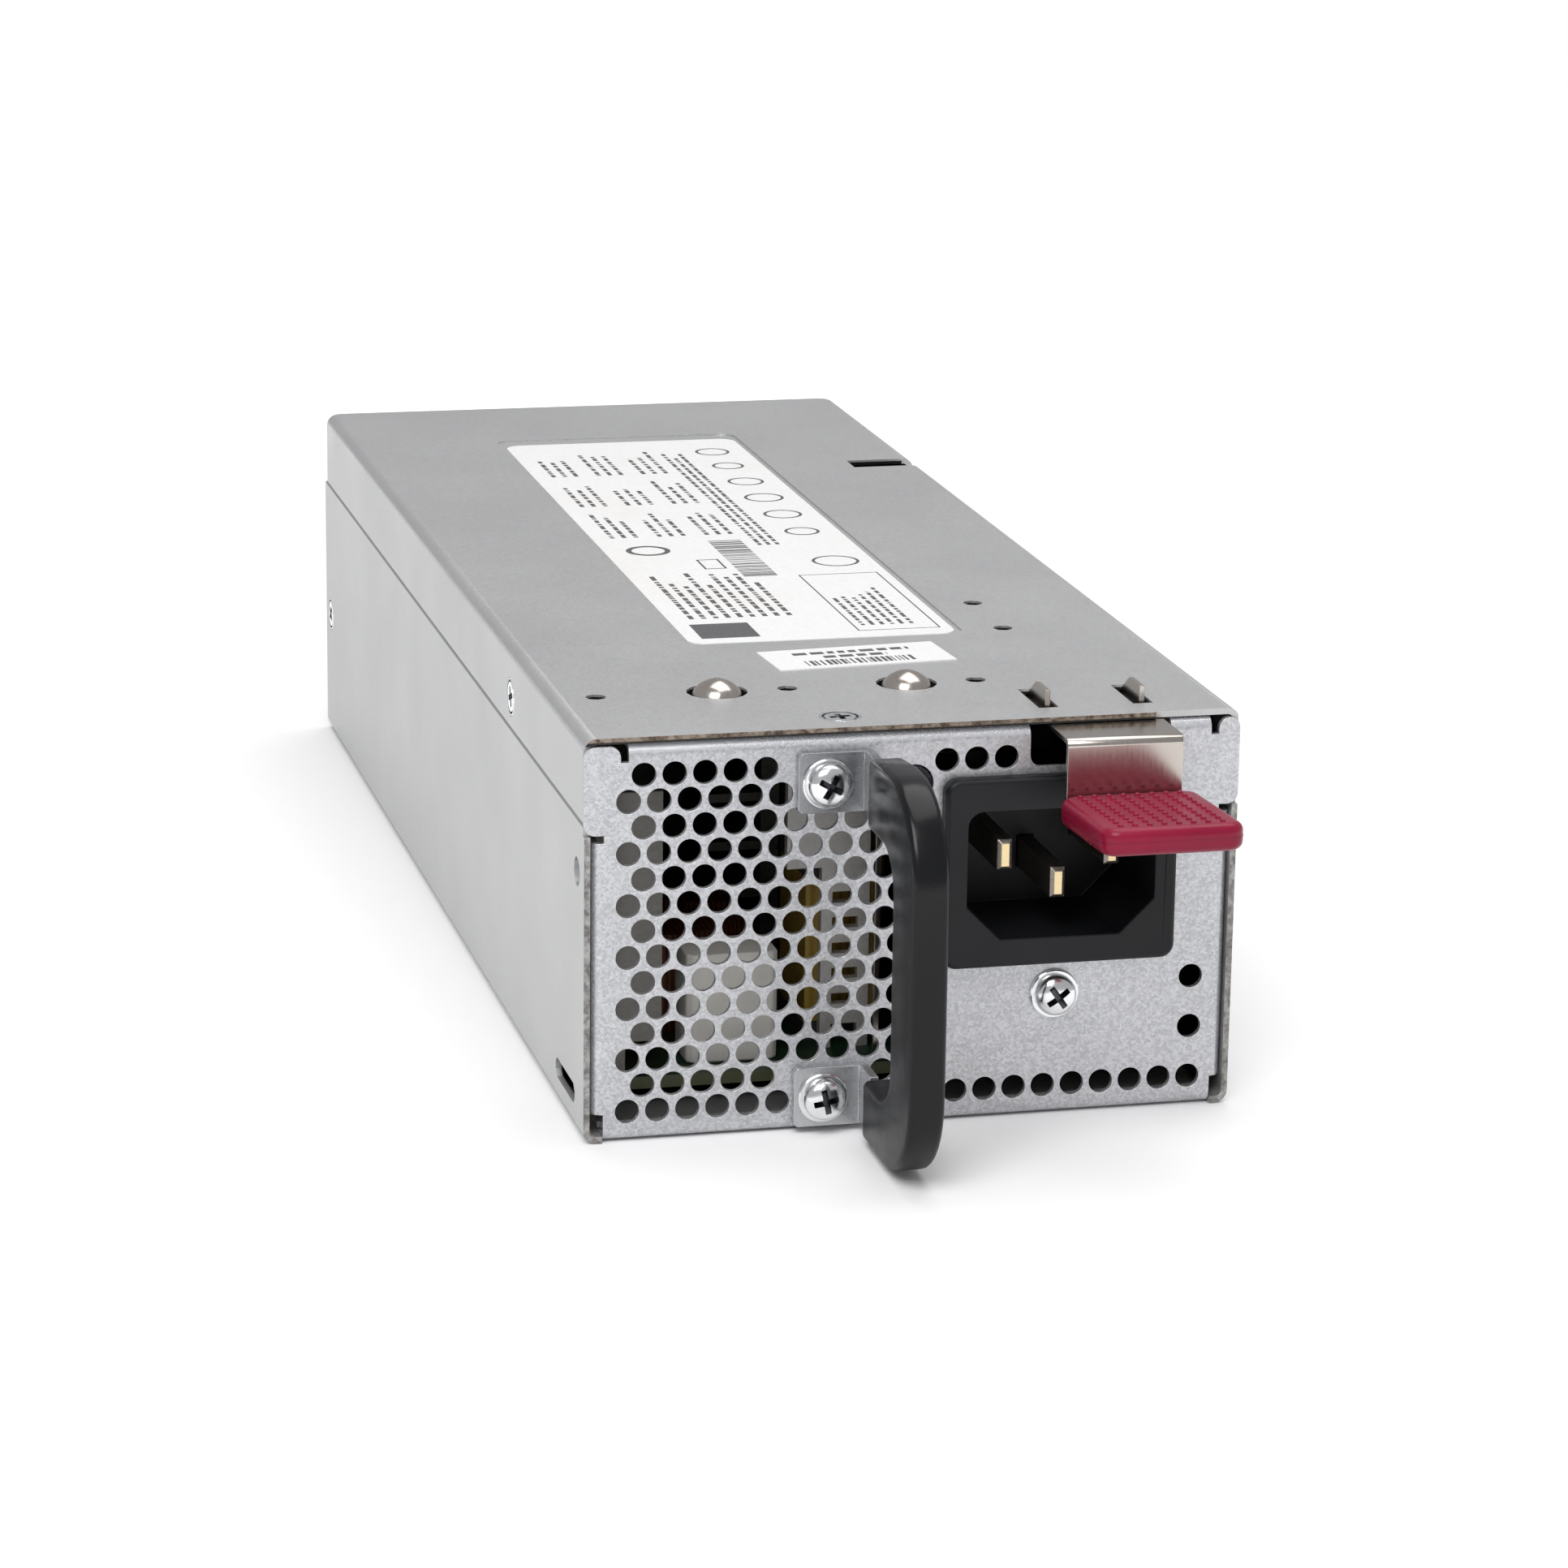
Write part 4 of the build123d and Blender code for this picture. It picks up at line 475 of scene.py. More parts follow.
def rolled_strip(name, colour, roughness):
    """Stainless spring strip: fine lines across its folds, a faint brown film, and painted shade where
    something lies close above it.
    """
    shader = Shader(name)
    lines = shader.noise(1.0, 4.0, 0.7, shader.stretched((5200.0, 220.0, 220.0)))
    film = shader.spread(shader.noise(160.0, 3.0, 0.5), 0.35, 0.7, 0.0, 0.4)
    base = shader.mix(shader.spread(lines, 0.3, 0.7), rgba(shade(colour, 0.92)), rgba(shade(colour, 1.05)))
    base = shader.mix(film, base, rgba(shade(colour, 0.85)))
    # Painted shade: near black where the occlusion measure finds something close above.
    unshaded = shader.spread(shader.openness(2.5), 0.15, 0.5)
    shader.set("Base Color", shader.mix(unshaded, rgba((0.03, 0.03, 0.03)), base))
    shader.set("Metallic", 1.0)
    shader.set("Roughness", shader.spread(lines, 0.3, 0.7, roughness - 0.03, roughness + 0.05))
    shader.bump(lines, 0.1, 0.01)
    return shader.material


def pin_metal(name, tip, flank_shade):
    """Contact metal: bright brass on the faces towards the front and back, with painted shade darkening its
    flanks.
    """
    shader = Shader(name)
    lines = shader.noise(1.0, 3.0, 0.6, shader.stretched((1200.0, 300.0, 3500.0)))
    # Painted shade: faces that don't look along Y take the dark flank colour.
    facing = shader.math("GREATER_THAN", shader.math("ABSOLUTE", shader.normal_part("Y")), 0.9)
    shaded_flank = shader.mix(shader.spread(lines, 0.3, 0.7), rgba(shade(flank_shade, 0.8)), rgba(shade(flank_shade, 1.2)))
    bright = shader.mix(shader.spread(lines, 0.3, 0.7), rgba(shade(tip, 0.9)), rgba(tip))
    shader.set("Base Color", shader.mix(facing, shaded_flank, bright))
    shader.set("Metallic", shader.spread(facing, 0, 1, 1.0, 0.7))
    shader.set("Roughness", shader.spread(lines, 0.3, 0.7, 0.28, 0.4))
    shader.bump(lines, 0.15, 0.01)
    return shader.material


def plastic(name, colour, roughness, grain=2600.0, bump=0.25, wear=None, gloss=0.5, rubbed=None):
    """Moulded plastic: grain, mottling and dust, polished by hands between the two rubbed heights."""
    shader = Shader(name)
    fine = shader.noise(grain, 3.0, 0.6)
    mottle = shader.spread(shader.noise(130.0, 4.0, 0.6), 0.3, 0.7)
    dim, lit = rgba(shade(colour, 0.88)), rgba(shade(colour, 1.15))
    base = shader.mix(shader.math("MULTIPLY", mottle, 0.6), dim, lit)
    dust = shader.spread(shader.noise(grain * 0.35, 6.0, 0.75), 0.62, 0.75, 0.0, 0.5)
    base = shader.mix(dust, base, rgba(wear if wear else shade(colour, 1.8)))
    rough = shader.spread(mottle, 0, 1, roughness - 0.05, roughness + 0.06)
    if rubbed:
        low, high = rubbed
        polish = shader.spread(shader.axis(shader.coords, "Z"), low * MM, high * MM, 1.0, 0.55)
        rough = shader.math("MULTIPLY", rough, polish)
    shader.set("Base Color", base)
    shader.set("Roughness", rough)
    shader.set("Specular IOR Level", gloss)
    shader.bump(fine, bump, 0.04)
    return shader.material


def banded(name, light, dark, across, roughness, metallic=0.0):
    """Wound or layered material: fine turns side by side, such as wire, tape or a laminate's weave."""
    shader = Shader(name)
    turns = shader.waves(across)
    mottle = shader.spread(shader.noise(300.0, 3.0, 0.6), 0.3, 0.7)
    base = shader.mix(turns, rgba(dark), rgba(light))
    base = shader.mix(shader.math("MULTIPLY", mottle, 0.3), base, rgba(shade(light, 0.6)))
    shader.set("Base Color", base)
    shader.set("Roughness", shader.spread(mottle, 0, 1, roughness - 0.05, roughness + 0.1))
    shader.set("Metallic", metallic)
    shader.bump(turns, 0.5, 0.1)
    return shader.material


def laminate(name):
    """Circuit board: green mask over faint tracks, darkened as painted shade, and paler olive edges of
    glass weave.
    """
    shader = Shader(name)
    weave = shader.waves(1500.0)
    tracks = shader.spread(shader.axis(shader.cells(260.0), "X"), 0.45, 0.55)
    # Painted shade: the mask's greens are kept far darker than the board's own green.
    face = shader.mix(tracks, rgba((0.007, 0.026, 0.013)), rgba((0.011, 0.040, 0.020)))
    edge = shader.mix(weave, rgba((0.055, 0.062, 0.026)), rgba((0.115, 0.12, 0.055)))
    side = shader.math("LESS_THAN", shader.math("ABSOLUTE", shader.normal_part("Z")), 0.5)
    shader.set("Base Color", shader.mix(side, face, edge))
    shader.set("Roughness", shader.spread(weave, 0, 1, 0.35, 0.5))
    shader.bump(weave, 0.2, 0.02)
    return shader.material


def paper(name):
    """Label stock with fibres and a few pale brown stains."""
    shader = Shader(name)
    fibre = shader.noise(1600.0, 5.0, 0.7)
    stain = shader.spread(shader.noise(38.0, 3.0, 0.5), 0.55, 0.75, 0.0, 0.6)
    base = shader.mix(shader.spread(fibre, 0.3, 0.7), rgba((0.80, 0.80, 0.79)), rgba((0.87, 0.87, 0.865)))
    shader.set("Base Color", shader.mix(stain, base, rgba((0.80, 0.76, 0.71))))
    shader.set("Roughness", shader.spread(fibre, 0.3, 0.7, 0.42, 0.55))
    shader.bump(fibre, 0.15, 0.02)
    return shader.material


def ink(name):
    """Dark grey print, worn thin in places."""
    shader = Shader(name)
    wear = shader.spread(shader.noise(2400.0, 4.0, 0.7), 0.55, 0.8, 0.0, 0.6)
    shader.set("Base Color", shader.mix(wear, rgba((0.09, 0.09, 0.095)), rgba((0.34, 0.34, 0.34))))
    shader.set("Roughness", shader.spread(wear, 0, 1, 0.5, 0.6))
    return shader.material


def lens(name):
    """Smoked window of the status light."""
    shader = Shader(name)
    fine = shader.noise(900.0, 2.0, 0.5)
    shader.set("Base Color", shader.mix(fine, rgba((0.010, 0.011, 0.013)), rgba((0.022, 0.024, 0.028))))
    shader.set("Roughness", shader.spread(fine, 0.3, 0.7, 0.12, 0.22))
    shader.set("Specular IOR Level", 0.35)
    return shader.material


# Looks of the record's slots, as (kind of material, settings)
SLOT_LOOKS = {
    "galvanised_sheet": (sheet_metal, dict(
        colour=(0.555, 0.557, 0.557), roughness=0.42, speckle=0.06, grain=3600.0, bump=0.08,
        open_edges=True)),
    "zinc_front": (sheet_metal, dict(
        colour=(0.55, 0.555, 0.575), roughness=0.36, speckle=0.30, grain=3300.0, bump=0.32, bend_polish_and_sheen=True)),
    "zinc_fasteners": (plated, dict(colour=(0.86, 0.87, 0.875), roughness=0.17)),
    "spring_steel": (rolled_strip, dict(colour=(0.53, 0.487, 0.443), roughness=0.19)),
    "label_paper": (paper, {}),
    "inlet_plastic": (plastic, dict(
        colour=(0.008, 0.0086, 0.0105), roughness=0.45, wear=(0.028, 0.028, 0.03), gloss=0.30)),
    "pin_metal": (pin_metal, dict(tip=(0.92, 0.74, 0.42), flank_shade=(0.34, 0.31, 0.27))),
    "handle_plastic": (plastic, dict(
        colour=(0.0066, 0.0069, 0.0078), roughness=0.38, wear=(0.016, 0.017, 0.019), gloss=0.26,
        rubbed=(28.0, 42.0))),
    "grip_plastic": (plastic, dict(
        colour=(0.27, 0.0078, 0.038), roughness=0.28, bump=0.10, wear=(0.31, 0.035, 0.08), gloss=0.26)),
    "lens": (lens, {}),
    "board_laminate": (laminate, {}),
    # Near black: partly the film's own colour, partly painted shade for the dark seen through the holes.
    "insulating_film": (plastic, dict(
        colour=(0.008, 0.008, 0.009), roughness=0.45, grain=900.0, gloss=0.12)),
    "capacitor_box": (plastic, dict(colour=(0.80, 0.775, 0.715), roughness=0.5, wear=(0.68, 0.66, 0.62))),
    # The plate's grey is darkened as painted shade for the inside of the case.
    "heat_sink_metal": (sheet_metal, dict(
        colour=(0.25, 0.24, 0.222), roughness=0.42, speckle=0.12, grain=1500.0, bump=0.2, metallic=0.6)),
    "ferrite": (plastic, dict(colour=(0.05, 0.05, 0.052), roughness=0.6, grain=1500.0)),
    "coil_tape": (banded, dict(
        light=(0.46, 0.31, 0.06), dark=(0.33, 0.21, 0.04), across=260.0, roughness=0.35)),
    "copper_wire": (banded, dict(
        light=(0.22, 0.075, 0.03), dark=(0.07, 0.025, 0.012), across=420.0, roughness=0.35, metallic=0.5)),
    "capacitor_sleeve": (plastic, dict(colour=(0.035, 0.03, 0.03), roughness=0.3, wear=(0.1, 0.09, 0.09))),
    "transistor_case": (plastic, dict(colour=(0.02, 0.02, 0.02), roughness=0.5)),
    "fan_plastic": (plastic, dict(colour=(0.018, 0.018, 0.019), roughness=0.45)),
}

# Looks of nodes that differ from the rest of their slot, as (nodes, kind of material, settings)
NODE_LOOKS = {
    "edge_gold": (["edge_contacts"], plated, dict(colour=(0.86, 0.64, 0.30), roughness=0.24)),
    # Strips under the cover: the spring steel made near black as painted shade.
    "covered_strip": (["contact_strip", "latch_anchor"], rolled_strip, dict(
        colour=(0.07, 0.067, 0.063), roughness=0.3)),
    "slotted_sheet": (["slotted_heat_sink"], sheet_metal, dict(
        colour=(0.56, 0.54, 0.52), roughness=0.40, speckle=0.10, grain=1500.0, bump=0.2, metallic=0.5)),
    # The upper bracket: a darker copy of the lower bracket's sheet, painted shade.
    "bracket_upper_sheet": (["handle_bracket_upper"], sheet_metal, dict(
        colour=(0.33, 0.335, 0.35), roughness=0.24, speckle=0.03, grain=1800.0, bump=0.04)),
    "bracket_lower_sheet": (["handle_bracket_lower"], sheet_metal, dict(
        colour=(0.50, 0.505, 0.52), roughness=0.24, speckle=0.04, grain=1800.0, bump=0.04)),
}

SLOTS = {part["node"]: part["material_slot"] for part in frame["record"]["subparts"]}
MATERIALS = {slot: kind(slot, **look) for slot, (kind, look) in SLOT_LOOKS.items()}
# Dark plating for the walls and floor of the cross recesses: painted shade.
RECESS_SHADE = plated("driver_recess_shade", colour=(0.10, 0.105, 0.115), roughness=0.36)
PRINT = ink("label_ink")


# Shapes
def place(x, y, z):
    """A point of the drawn frame, in metres of the shared frame."""
    return Vector((x * MM, (y + FRONT) * MM, z * MM))


def arc(centre, radius, start, end, steps):
    """Points of an arc, angles in degrees."""
    for step in range(steps + 1):
        angle = math.radians(start + (end - start) * step / steps)
        yield centre[0] + radius * math.cos(angle), centre[1] + radius * math.sin(angle)


def circle(x, z, radius, steps=HOLE_STEPS):
    return list(arc((x, z), radius, 0, 360, steps))[:-1]


def rounded(corners, steps=6):
    """Closed outline through corners (u, v, radius), each rounded by its own radius."""
    points = []
    for index, (u, v, radius) in enumerate(corners):
        here = Vector((u, v))
        if not radius:
            points.append((u, v))
            continue
        before = Vector(corners[index - 1][:2]) - here
        after = Vector(corners[(index + 1) % len(corners)][:2]) - here
        reach = radius / math.tan(before.angle(after) / 2)
        start = here + before.normalized() * reach
        end = here + after.normalized() * reach
        bisector = (before.normalized() + after.normalized()).normalized()
        centre = here + bisector * math.hypot(reach, radius)
        first = start - centre
        turn = first.angle_signed(end - centre)
        for step in range(steps + 1):
            spoke = first.copy()
            spoke.rotate(Matrix.Rotation(-turn * step / steps, 2))
            points.append(tuple(centre + spoke))
    return points


def prism(loop, low, high, to_space):
    """Solid between two copies of a closed outline; to_space(u, v, w) gives a point in space."""
    bm = bmesh.new()
    lower = [bm.verts.new(to_space(u, v, low)) for u, v in loop]
    upper = [bm.verts.new(to_space(u, v, high)) for u, v in loop]
    bm.faces.new(lower)
    bm.faces.new(upper)
    for index in range(len(loop)):
        after = (index + 1) % len(loop)
        bm.faces.new((lower[index], lower[after], upper[after], upper[index]))
    bmesh.ops.recalc_face_normals(bm, faces=bm.faces)
    return bm


def lathe(profile, steps=32):
    """Turned solid around Z from (radius, z) points, in millimetres about the origin."""
    bm = bmesh.new()
    rings = []
    for radius, z in profile:
        points = circle(0, 0, radius, steps) if radius else [(0, 0)]
        rings.append([bm.verts.new((x * MM, y * MM, z * MM)) for x, y in points])
    for low, high in zip(rings, rings[1:]):
        for index in range(steps):
            after = (index + 1) % steps
            corners = [(low, index), (low, after), (high, after), (high, index)]
            corners = [ring[turn % len(ring)] for ring, turn in corners]
            bm.faces.new(list(dict.fromkeys(corners)))
    bmesh.ops.recalc_face_normals(bm, faces=bm.faces)
    return bm


def join(parts):
    """One mesh builder out of several."""
    whole = bmesh.new()
    for part in parts:
        mesh = bpy.data.meshes.new("part")
        part.to_mesh(mesh)
        whole.from_mesh(mesh)
        bpy.data.meshes.remove(mesh)
        part.free()
    return whole


def moved(bm, matrix):
    """The mesh builder itself, moved by the matrix."""
    bmesh.ops.transform(bm, matrix=matrix, verts=bm.verts)
    return bm


def round_edges(bm, width, segments):
    """Rounding of a mesh builder's sharp edges."""
    sharp = math.radians(ROUND_ANGLE)
    edges = [edge for edge in bm.edges if len(edge.link_faces) == 2 and edge.calc_face_angle() > sharp]
    bmesh.ops.bevel(
        bm, geom=edges, offset=width * MM, segments=segments, profile=0.5, affect="EDGES",
        clamp_overlap=True
    )
    return bm


def finish_mesh(bm, name, sharp):
    """Smooth shading that stops at edges sharper than the given angle."""
    for face in bm.faces:
        face.smooth = True
    for edge in bm.edges:
        if len(edge.link_faces) == 2:
            edge.smooth = math.degrees(edge.calc_face_angle()) < sharp
    mesh = bpy.data.meshes.new(name)
    bm.to_mesh(mesh)
    bm.free()
    return mesh


def show(name, bm, node=None, body="case", material=None, sharp=SMOOTH_BELOW):
    """Adds a piece to the scene. With a node, it stands for that CAD node and takes its slot."""
    obj = bpy.data.objects.new(name, finish_mesh(bm, name, sharp))
    bpy.context.scene.collection.objects.link(obj)
    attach(obj, body)
    if node:
        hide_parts(node)
        obj.data.materials.append(MATERIALS[SLOTS[node]])
        if any(face.material_index for face in obj.data.polygons):
            obj.data.materials.append(RECESS_SHADE)
    else:
        obj.data.materials.append(material)
    return obj


def round_modifier(obj, width, angle):
    """Rounding of the edges that are sharper than the given angle."""
    bevel = obj.modifiers.new("bevel", "BEVEL")
    bevel.width = width * MM
    bevel.segments = 2
    bevel.limit_method = "ANGLE"
    bevel.angle_limit = math.radians(angle)
    bevel.harden_normals = True


def soften(obj, width):
    """Small rounding on the edges of a CAD mesh, once its flat faces are whole again."""
    weld = obj.modifiers.new("weld", "WELD")
    weld.merge_threshold = WELD * MM
    flat = obj.modifiers.new("flat", "DECIMATE")
    flat.decimate_type = "DISSOLVE"
    flat.angle_limit = math.radians(FLAT_ANGLE)
    round_modifier(obj, width, SHARP_ANGLE)


# Front panel
def hole_places():
    """Centres of the perforation, on a staggered grid."""
    for row in range(ROWS):
        for column in range(int(2 * CASE_HALF / PITCH)):
            x = GRID_X + (column + row % 2 / 2) * PITCH
            z = GRID_Z + row * ROW_PITCH
            if is_hole(x, z):
                yield x, z


def is_hole(x, z):
    near_bracket = BRACKET_LEFT < x < BRACKET_RIGHT and any(
        abs(z - middle) < BRACKET_HALF_HEIGHT for middle in BRACKET_Z
    )
    near_light = math.dist((x, z), LED) < LED_RADIUS + HOLE_RADIUS + RELIEF
    top_row = z > INLET_TOP and LED[0] + PITCH < x < GAP_LEFT - HOLE_RADIUS
    bottom_row = z < GRID_Z + ROW_PITCH / 2 and x < PLATE_HALF - HOLE_RADIUS
    column = COLUMN_LEFT < x < CASE_HALF - PITCH and COLUMN_LOW < z < COLUMN_HIGH
    return (x < GRILLE_RIGHT or top_row or bottom_row or column) and not near_bracket and not near_light


def panel_outline():
    """Flat part of the front panel with its ears, slots and latch gap, counterclockwise from the front."""
    right = [
        (PLATE_HALF, BEND, 0), (PLATE_HALF, CORNER_HEIGHT, 0), (PLATE_HALF, SIDE_FOLD_TOP, 0),
        (PLATE_HALF, EAR_BOTTOM, 0), (CASE_HALF, EAR_BOTTOM, EAR_RADIUS),
        (CASE_HALF, EAR_TOP, NARROW_EAR_RADIUS), (EAR_RIGHT, EAR_TOP, NARROW_EAR_RADIUS),
        (EAR_RIGHT, RELIEF_BOTTOM, 0), (EAR_RIGHT - RELIEF, RELIEF_BOTTOM, 0),
        (EAR_RIGHT - RELIEF, COVER_UNDERSIDE - BEND, 0),
    ]
    gap = [
        (GAP_RIGHT, COVER_UNDERSIDE - BEND, 0), (GAP_RIGHT, GAP_BOTTOM, GAP_RADIUS),
        (GAP_LEFT, GAP_BOTTOM, GAP_RADIUS), (GAP_LEFT, COVER_UNDERSIDE - BEND, 0),
    ]
    left = [
        (RELIEF - EAR_LEFT, COVER_UNDERSIDE - BEND, 0), (RELIEF - EAR_LEFT, RELIEF_BOTTOM, 0),
        (-EAR_LEFT, RELIEF_BOTTOM, 0), (-EAR_LEFT, EAR_TOP, EAR_RADIUS), (-CASE_HALF, EAR_TOP, EAR_RADIUS),
        (-CASE_HALF, EAR_BOTTOM, EAR_RADIUS), (-PLATE_HALF, EAR_BOTTOM, 0), (-PLATE_HALF, SIDE_FOLD_TOP, 0),
        (-PLATE_HALF, CORNER_HEIGHT, 0), (-PLATE_HALF, BEND, 0),
    ]
    return rounded(right + gap + left)


def inside(points, loops):
    """For each point, whether it lies within an odd number of the loops."""
    odd = np.zeros(len(points), bool)
    for loop in loops:
        a = np.array(loop)
        b = np.roll(a, -1, axis=0)
        for (ax, ay), (bx, by) in zip(a, b):
            if ay == by:
                continue
            crosses = (ay > points[:, 1]) != (by > points[:, 1])
            odd ^= crosses & (points[:, 0] < (bx - ax) * (points[:, 1] - ay) / (by - ay) + ax)
    return odd


def flat_face(bm, loops, to_space):
    """Triangles of a flat outline with holes, added to the mesh."""
    points, edges = [], []
    for loop in loops:
        first, count = len(points), len(loop)
        points += [Vector(p) for p in loop]
        edges += [(first + i, first + (i + 1) % count) for i in range(count)]
    flat, _, triangles, *_ = delaunay_2d_cdt(points, edges, [], 0, 1e-6)
    corners = np.array([tuple(p) for p in flat])
    kept = inside(corners[np.array(triangles)].mean(axis=1), loops)
    verts = [bm.verts.new(to_space(*p)) for p in corners]
    for triangle, keep in zip(triangles, kept):
        if keep:
            bm.faces.new([verts[i] for i in triangle])


def fold(bm, section, low, high, to_space):
    """Bent strip: the section's points swept between two places along the fold line."""
    for start, end in zip(section, section[1:]):
        corners = [to_space(*start, low), to_space(*start, high), to_space(*end, high), to_space(*end, low)]
        bm.faces.new([bm.verts.new(corner) for corner in corners])


def panel_bm():
    """The front panel's outer skin: flat face, ears and the folds to the rear."""
    bm = bmesh.new()
    inlet_u, inlet_v = INLET_HOLE[0] / 2, INLET_HOLE[1] / 2
    loops = [panel_outline()] + [circle(x, z, HOLE_RADIUS) for x, z in hole_places()]
    loops.append([
        (INLET_X - inlet_u, INLET_Z - inlet_v), (INLET_X + inlet_u, INLET_Z - inlet_v),
        (INLET_X + inlet_u, INLET_Z + inlet_v), (INLET_X - inlet_u, INLET_Z + inlet_v),
    ])
    loops.append(circle(*LED, LED_RADIUS + LED_PLAY, LED_STEPS))
    flat_face(bm, loops, lambda x, z: place(x, 0, z))
    # A section runs from the flat part through the bend to the fold's rear edge, as (outwards, back)
    section = [(u, BEND - v) for u, v in arc((0, 0), BEND, 90, 0, BEND_STEPS)]
    section.append((BEND, FOLD_DEPTH))
    flat_top = COVER_UNDERSIDE - BEND
    for low, high in ((RELIEF - EAR_LEFT, GAP_LEFT), (GAP_RIGHT, EAR_RIGHT - RELIEF)):
        fold(bm, section, low, high, lambda u, y, x: place(x, y, flat_top + u))
    fold(bm, section, -PLATE_HALF, PLATE_HALF, lambda u, y, x: place(x, y, BEND - u))
    for side in (-1, 1):
        fold(bm, section, CORNER_HEIGHT, SIDE_FOLD_TOP,
             lambda u, y, z: place(side * (PLATE_HALF + u), y, z))
    bmesh.ops.remove_doubles(bm, verts=bm.verts, dist=WELD * MM)
    bmesh.ops.recalc_face_normals(bm, faces=bm.faces)
    if max(bm.faces, key=lambda f: f.calc_area() if abs(f.normal.y) > 0.9 else 0).normal.y > 0:
        bmesh.ops.reverse_faces(bm, faces=bm.faces)
    return bm


def front_panel():
    """The panel's skin, thickened inwards to the sheet and rounded along its cut edges."""
    obj = show("front_panel_sheet", panel_bm(), "front_panel", sharp=PANEL_SMOOTH_BELOW)
    solid = obj.modifiers.new("sheet", "SOLIDIFY")
    solid.thickness = SHEET * MM
    solid.offset = -1
    round_modifier(obj, PANEL_EDGE, PANEL_SHARP_ANGLE)


# Fasteners
def cut(bm, cutter):
    """The first solid without the second."""
    objects = []
    for name, part in (("body", bm), ("tool", cutter)):
        mesh = bpy.data.meshes.new(name)
        part.to_mesh(mesh)
        part.free()
        obj = bpy.data.objects.new(name, mesh)
        bpy.context.scene.collection.objects.link(obj)
        objects.append(obj)
    boolean = objects[0].modifiers.new("cut", "BOOLEAN")
    boolean.object = objects[1]
    boolean.operation = "DIFFERENCE"
    boolean.solver = "EXACT"
    result = bmesh.new()
    result.from_object(objects[0], bpy.context.evaluated_depsgraph_get())
    for obj in objects:
        mesh = obj.data
        bpy.data.objects.remove(obj)
        bpy.data.meshes.remove(mesh)
    return result


def cross_cutter(span, top, depth):
    """Tapered cross of a cross-head driver, standing down from the given height."""
    ends = ((span, CROSS_WIDE, top + CROSS_RISE), (span * CROSS_TAPER, CROSS_NARROW, top - depth))
    slabs = []
    for quarter in range(2):
        bm = bmesh.new()
        rings = []
        for reach, half, z in ends:
            corners = ((-reach, -half), (reach, -half), (reach, half), (-reach, half))
            rings.append([bm.verts.new((x * MM, y * MM, z * MM)) for x, y in corners])
            bm.faces.new(rings[-1])
        upper, lower = rings
        for index in range(4):
            after = (index + 1) % 4
            bm.faces.new((upper[index], upper[after], lower[after], lower[index]))
        bmesh.ops.recalc_face_normals(bm, faces=bm.faces)
        slabs.append(moved(bm, Matrix.Rotation(math.radians(90 * quarter), 4, "Z")))
    return slabs


def driven(head, top, span, depth):
    """The head with its cross recess, whose walls and floor take the second material, a dark painted shade.
    """
    for slab in cross_cutter(span, top, depth):
        head = cut(head, slab)
    bottom, near_bottom = (top - depth) * MM - 1e-6, (top - depth * 0.9) * MM
    for face in head.faces:
        middle, normal = face.calc_center_median(), face.normal
        inwards = normal.x * middle.x + normal.y * middle.y < -0.01 * MM
        is_wall = inwards and middle.z > bottom and normal.z > -0.5
        within = math.hypot(middle.x, middle.y) < span * MM
        is_floor = within and middle.z < near_bottom and normal.z > 0.5
        if is_wall or is_floor:
            face.material_index = 1
    return head


def pan_head():
    """Screw with a domed head."""
    profile = [(0, PAN_HEIGHT)]
    for step in range(1, PAN_STEPS + 1):
        angle = math.radians(90 * step / PAN_STEPS)
        radius, height = (part(angle) ** power for part, power in zip((math.sin, math.cos), PAN_CROWN))
        profile.append((PAN_RADIUS * radius, PAN_HEIGHT * height))
    profile += [(PAN_RADIUS, 0), (SHANK, 0), (SHANK, -PAN_LENGTH), (0, -PAN_LENGTH)]
    return driven(lathe(profile), PAN_HEIGHT, *PAN_RECESS)


def flat_head():
    """Countersunk screw with a fine groove round its face."""
    profile = [
        *FLAT_TOP, (FLAT_RADIUS - FLAT_EDGE, 0), (FLAT_RADIUS, -FLAT_EDGE),
        (SHANK, -FLAT_HEIGHT), (SHANK, -FLAT_LENGTH), (0, -FLAT_LENGTH),
    ]
    return driven(lathe(profile), 0, *FLAT_RECESS)


def washer_ring():
    profile = [
        (SHANK, 0), (WASHER_RADIUS - 0.1, 0), (WASHER_RADIUS, WASHER_EDGE),
        (WASHER_RADIUS, WASHER - WASHER_EDGE), (WASHER_RADIUS - 0.15, WASHER), (SHANK, WASHER), (SHANK, 0),
    ]
    return lathe(profile)


def facing(direction, x, y, z, turn=0.0):
    """Turns a part that stands along +Z towards a direction and puts it at a place."""
    aim = Vector(direction).to_track_quat("Z", "Y").to_matrix().to_4x4()
    return Matrix.Translation(place(x, y, z)) @ aim @ Matrix.Rotation(math.radians(turn), 4, "Z")


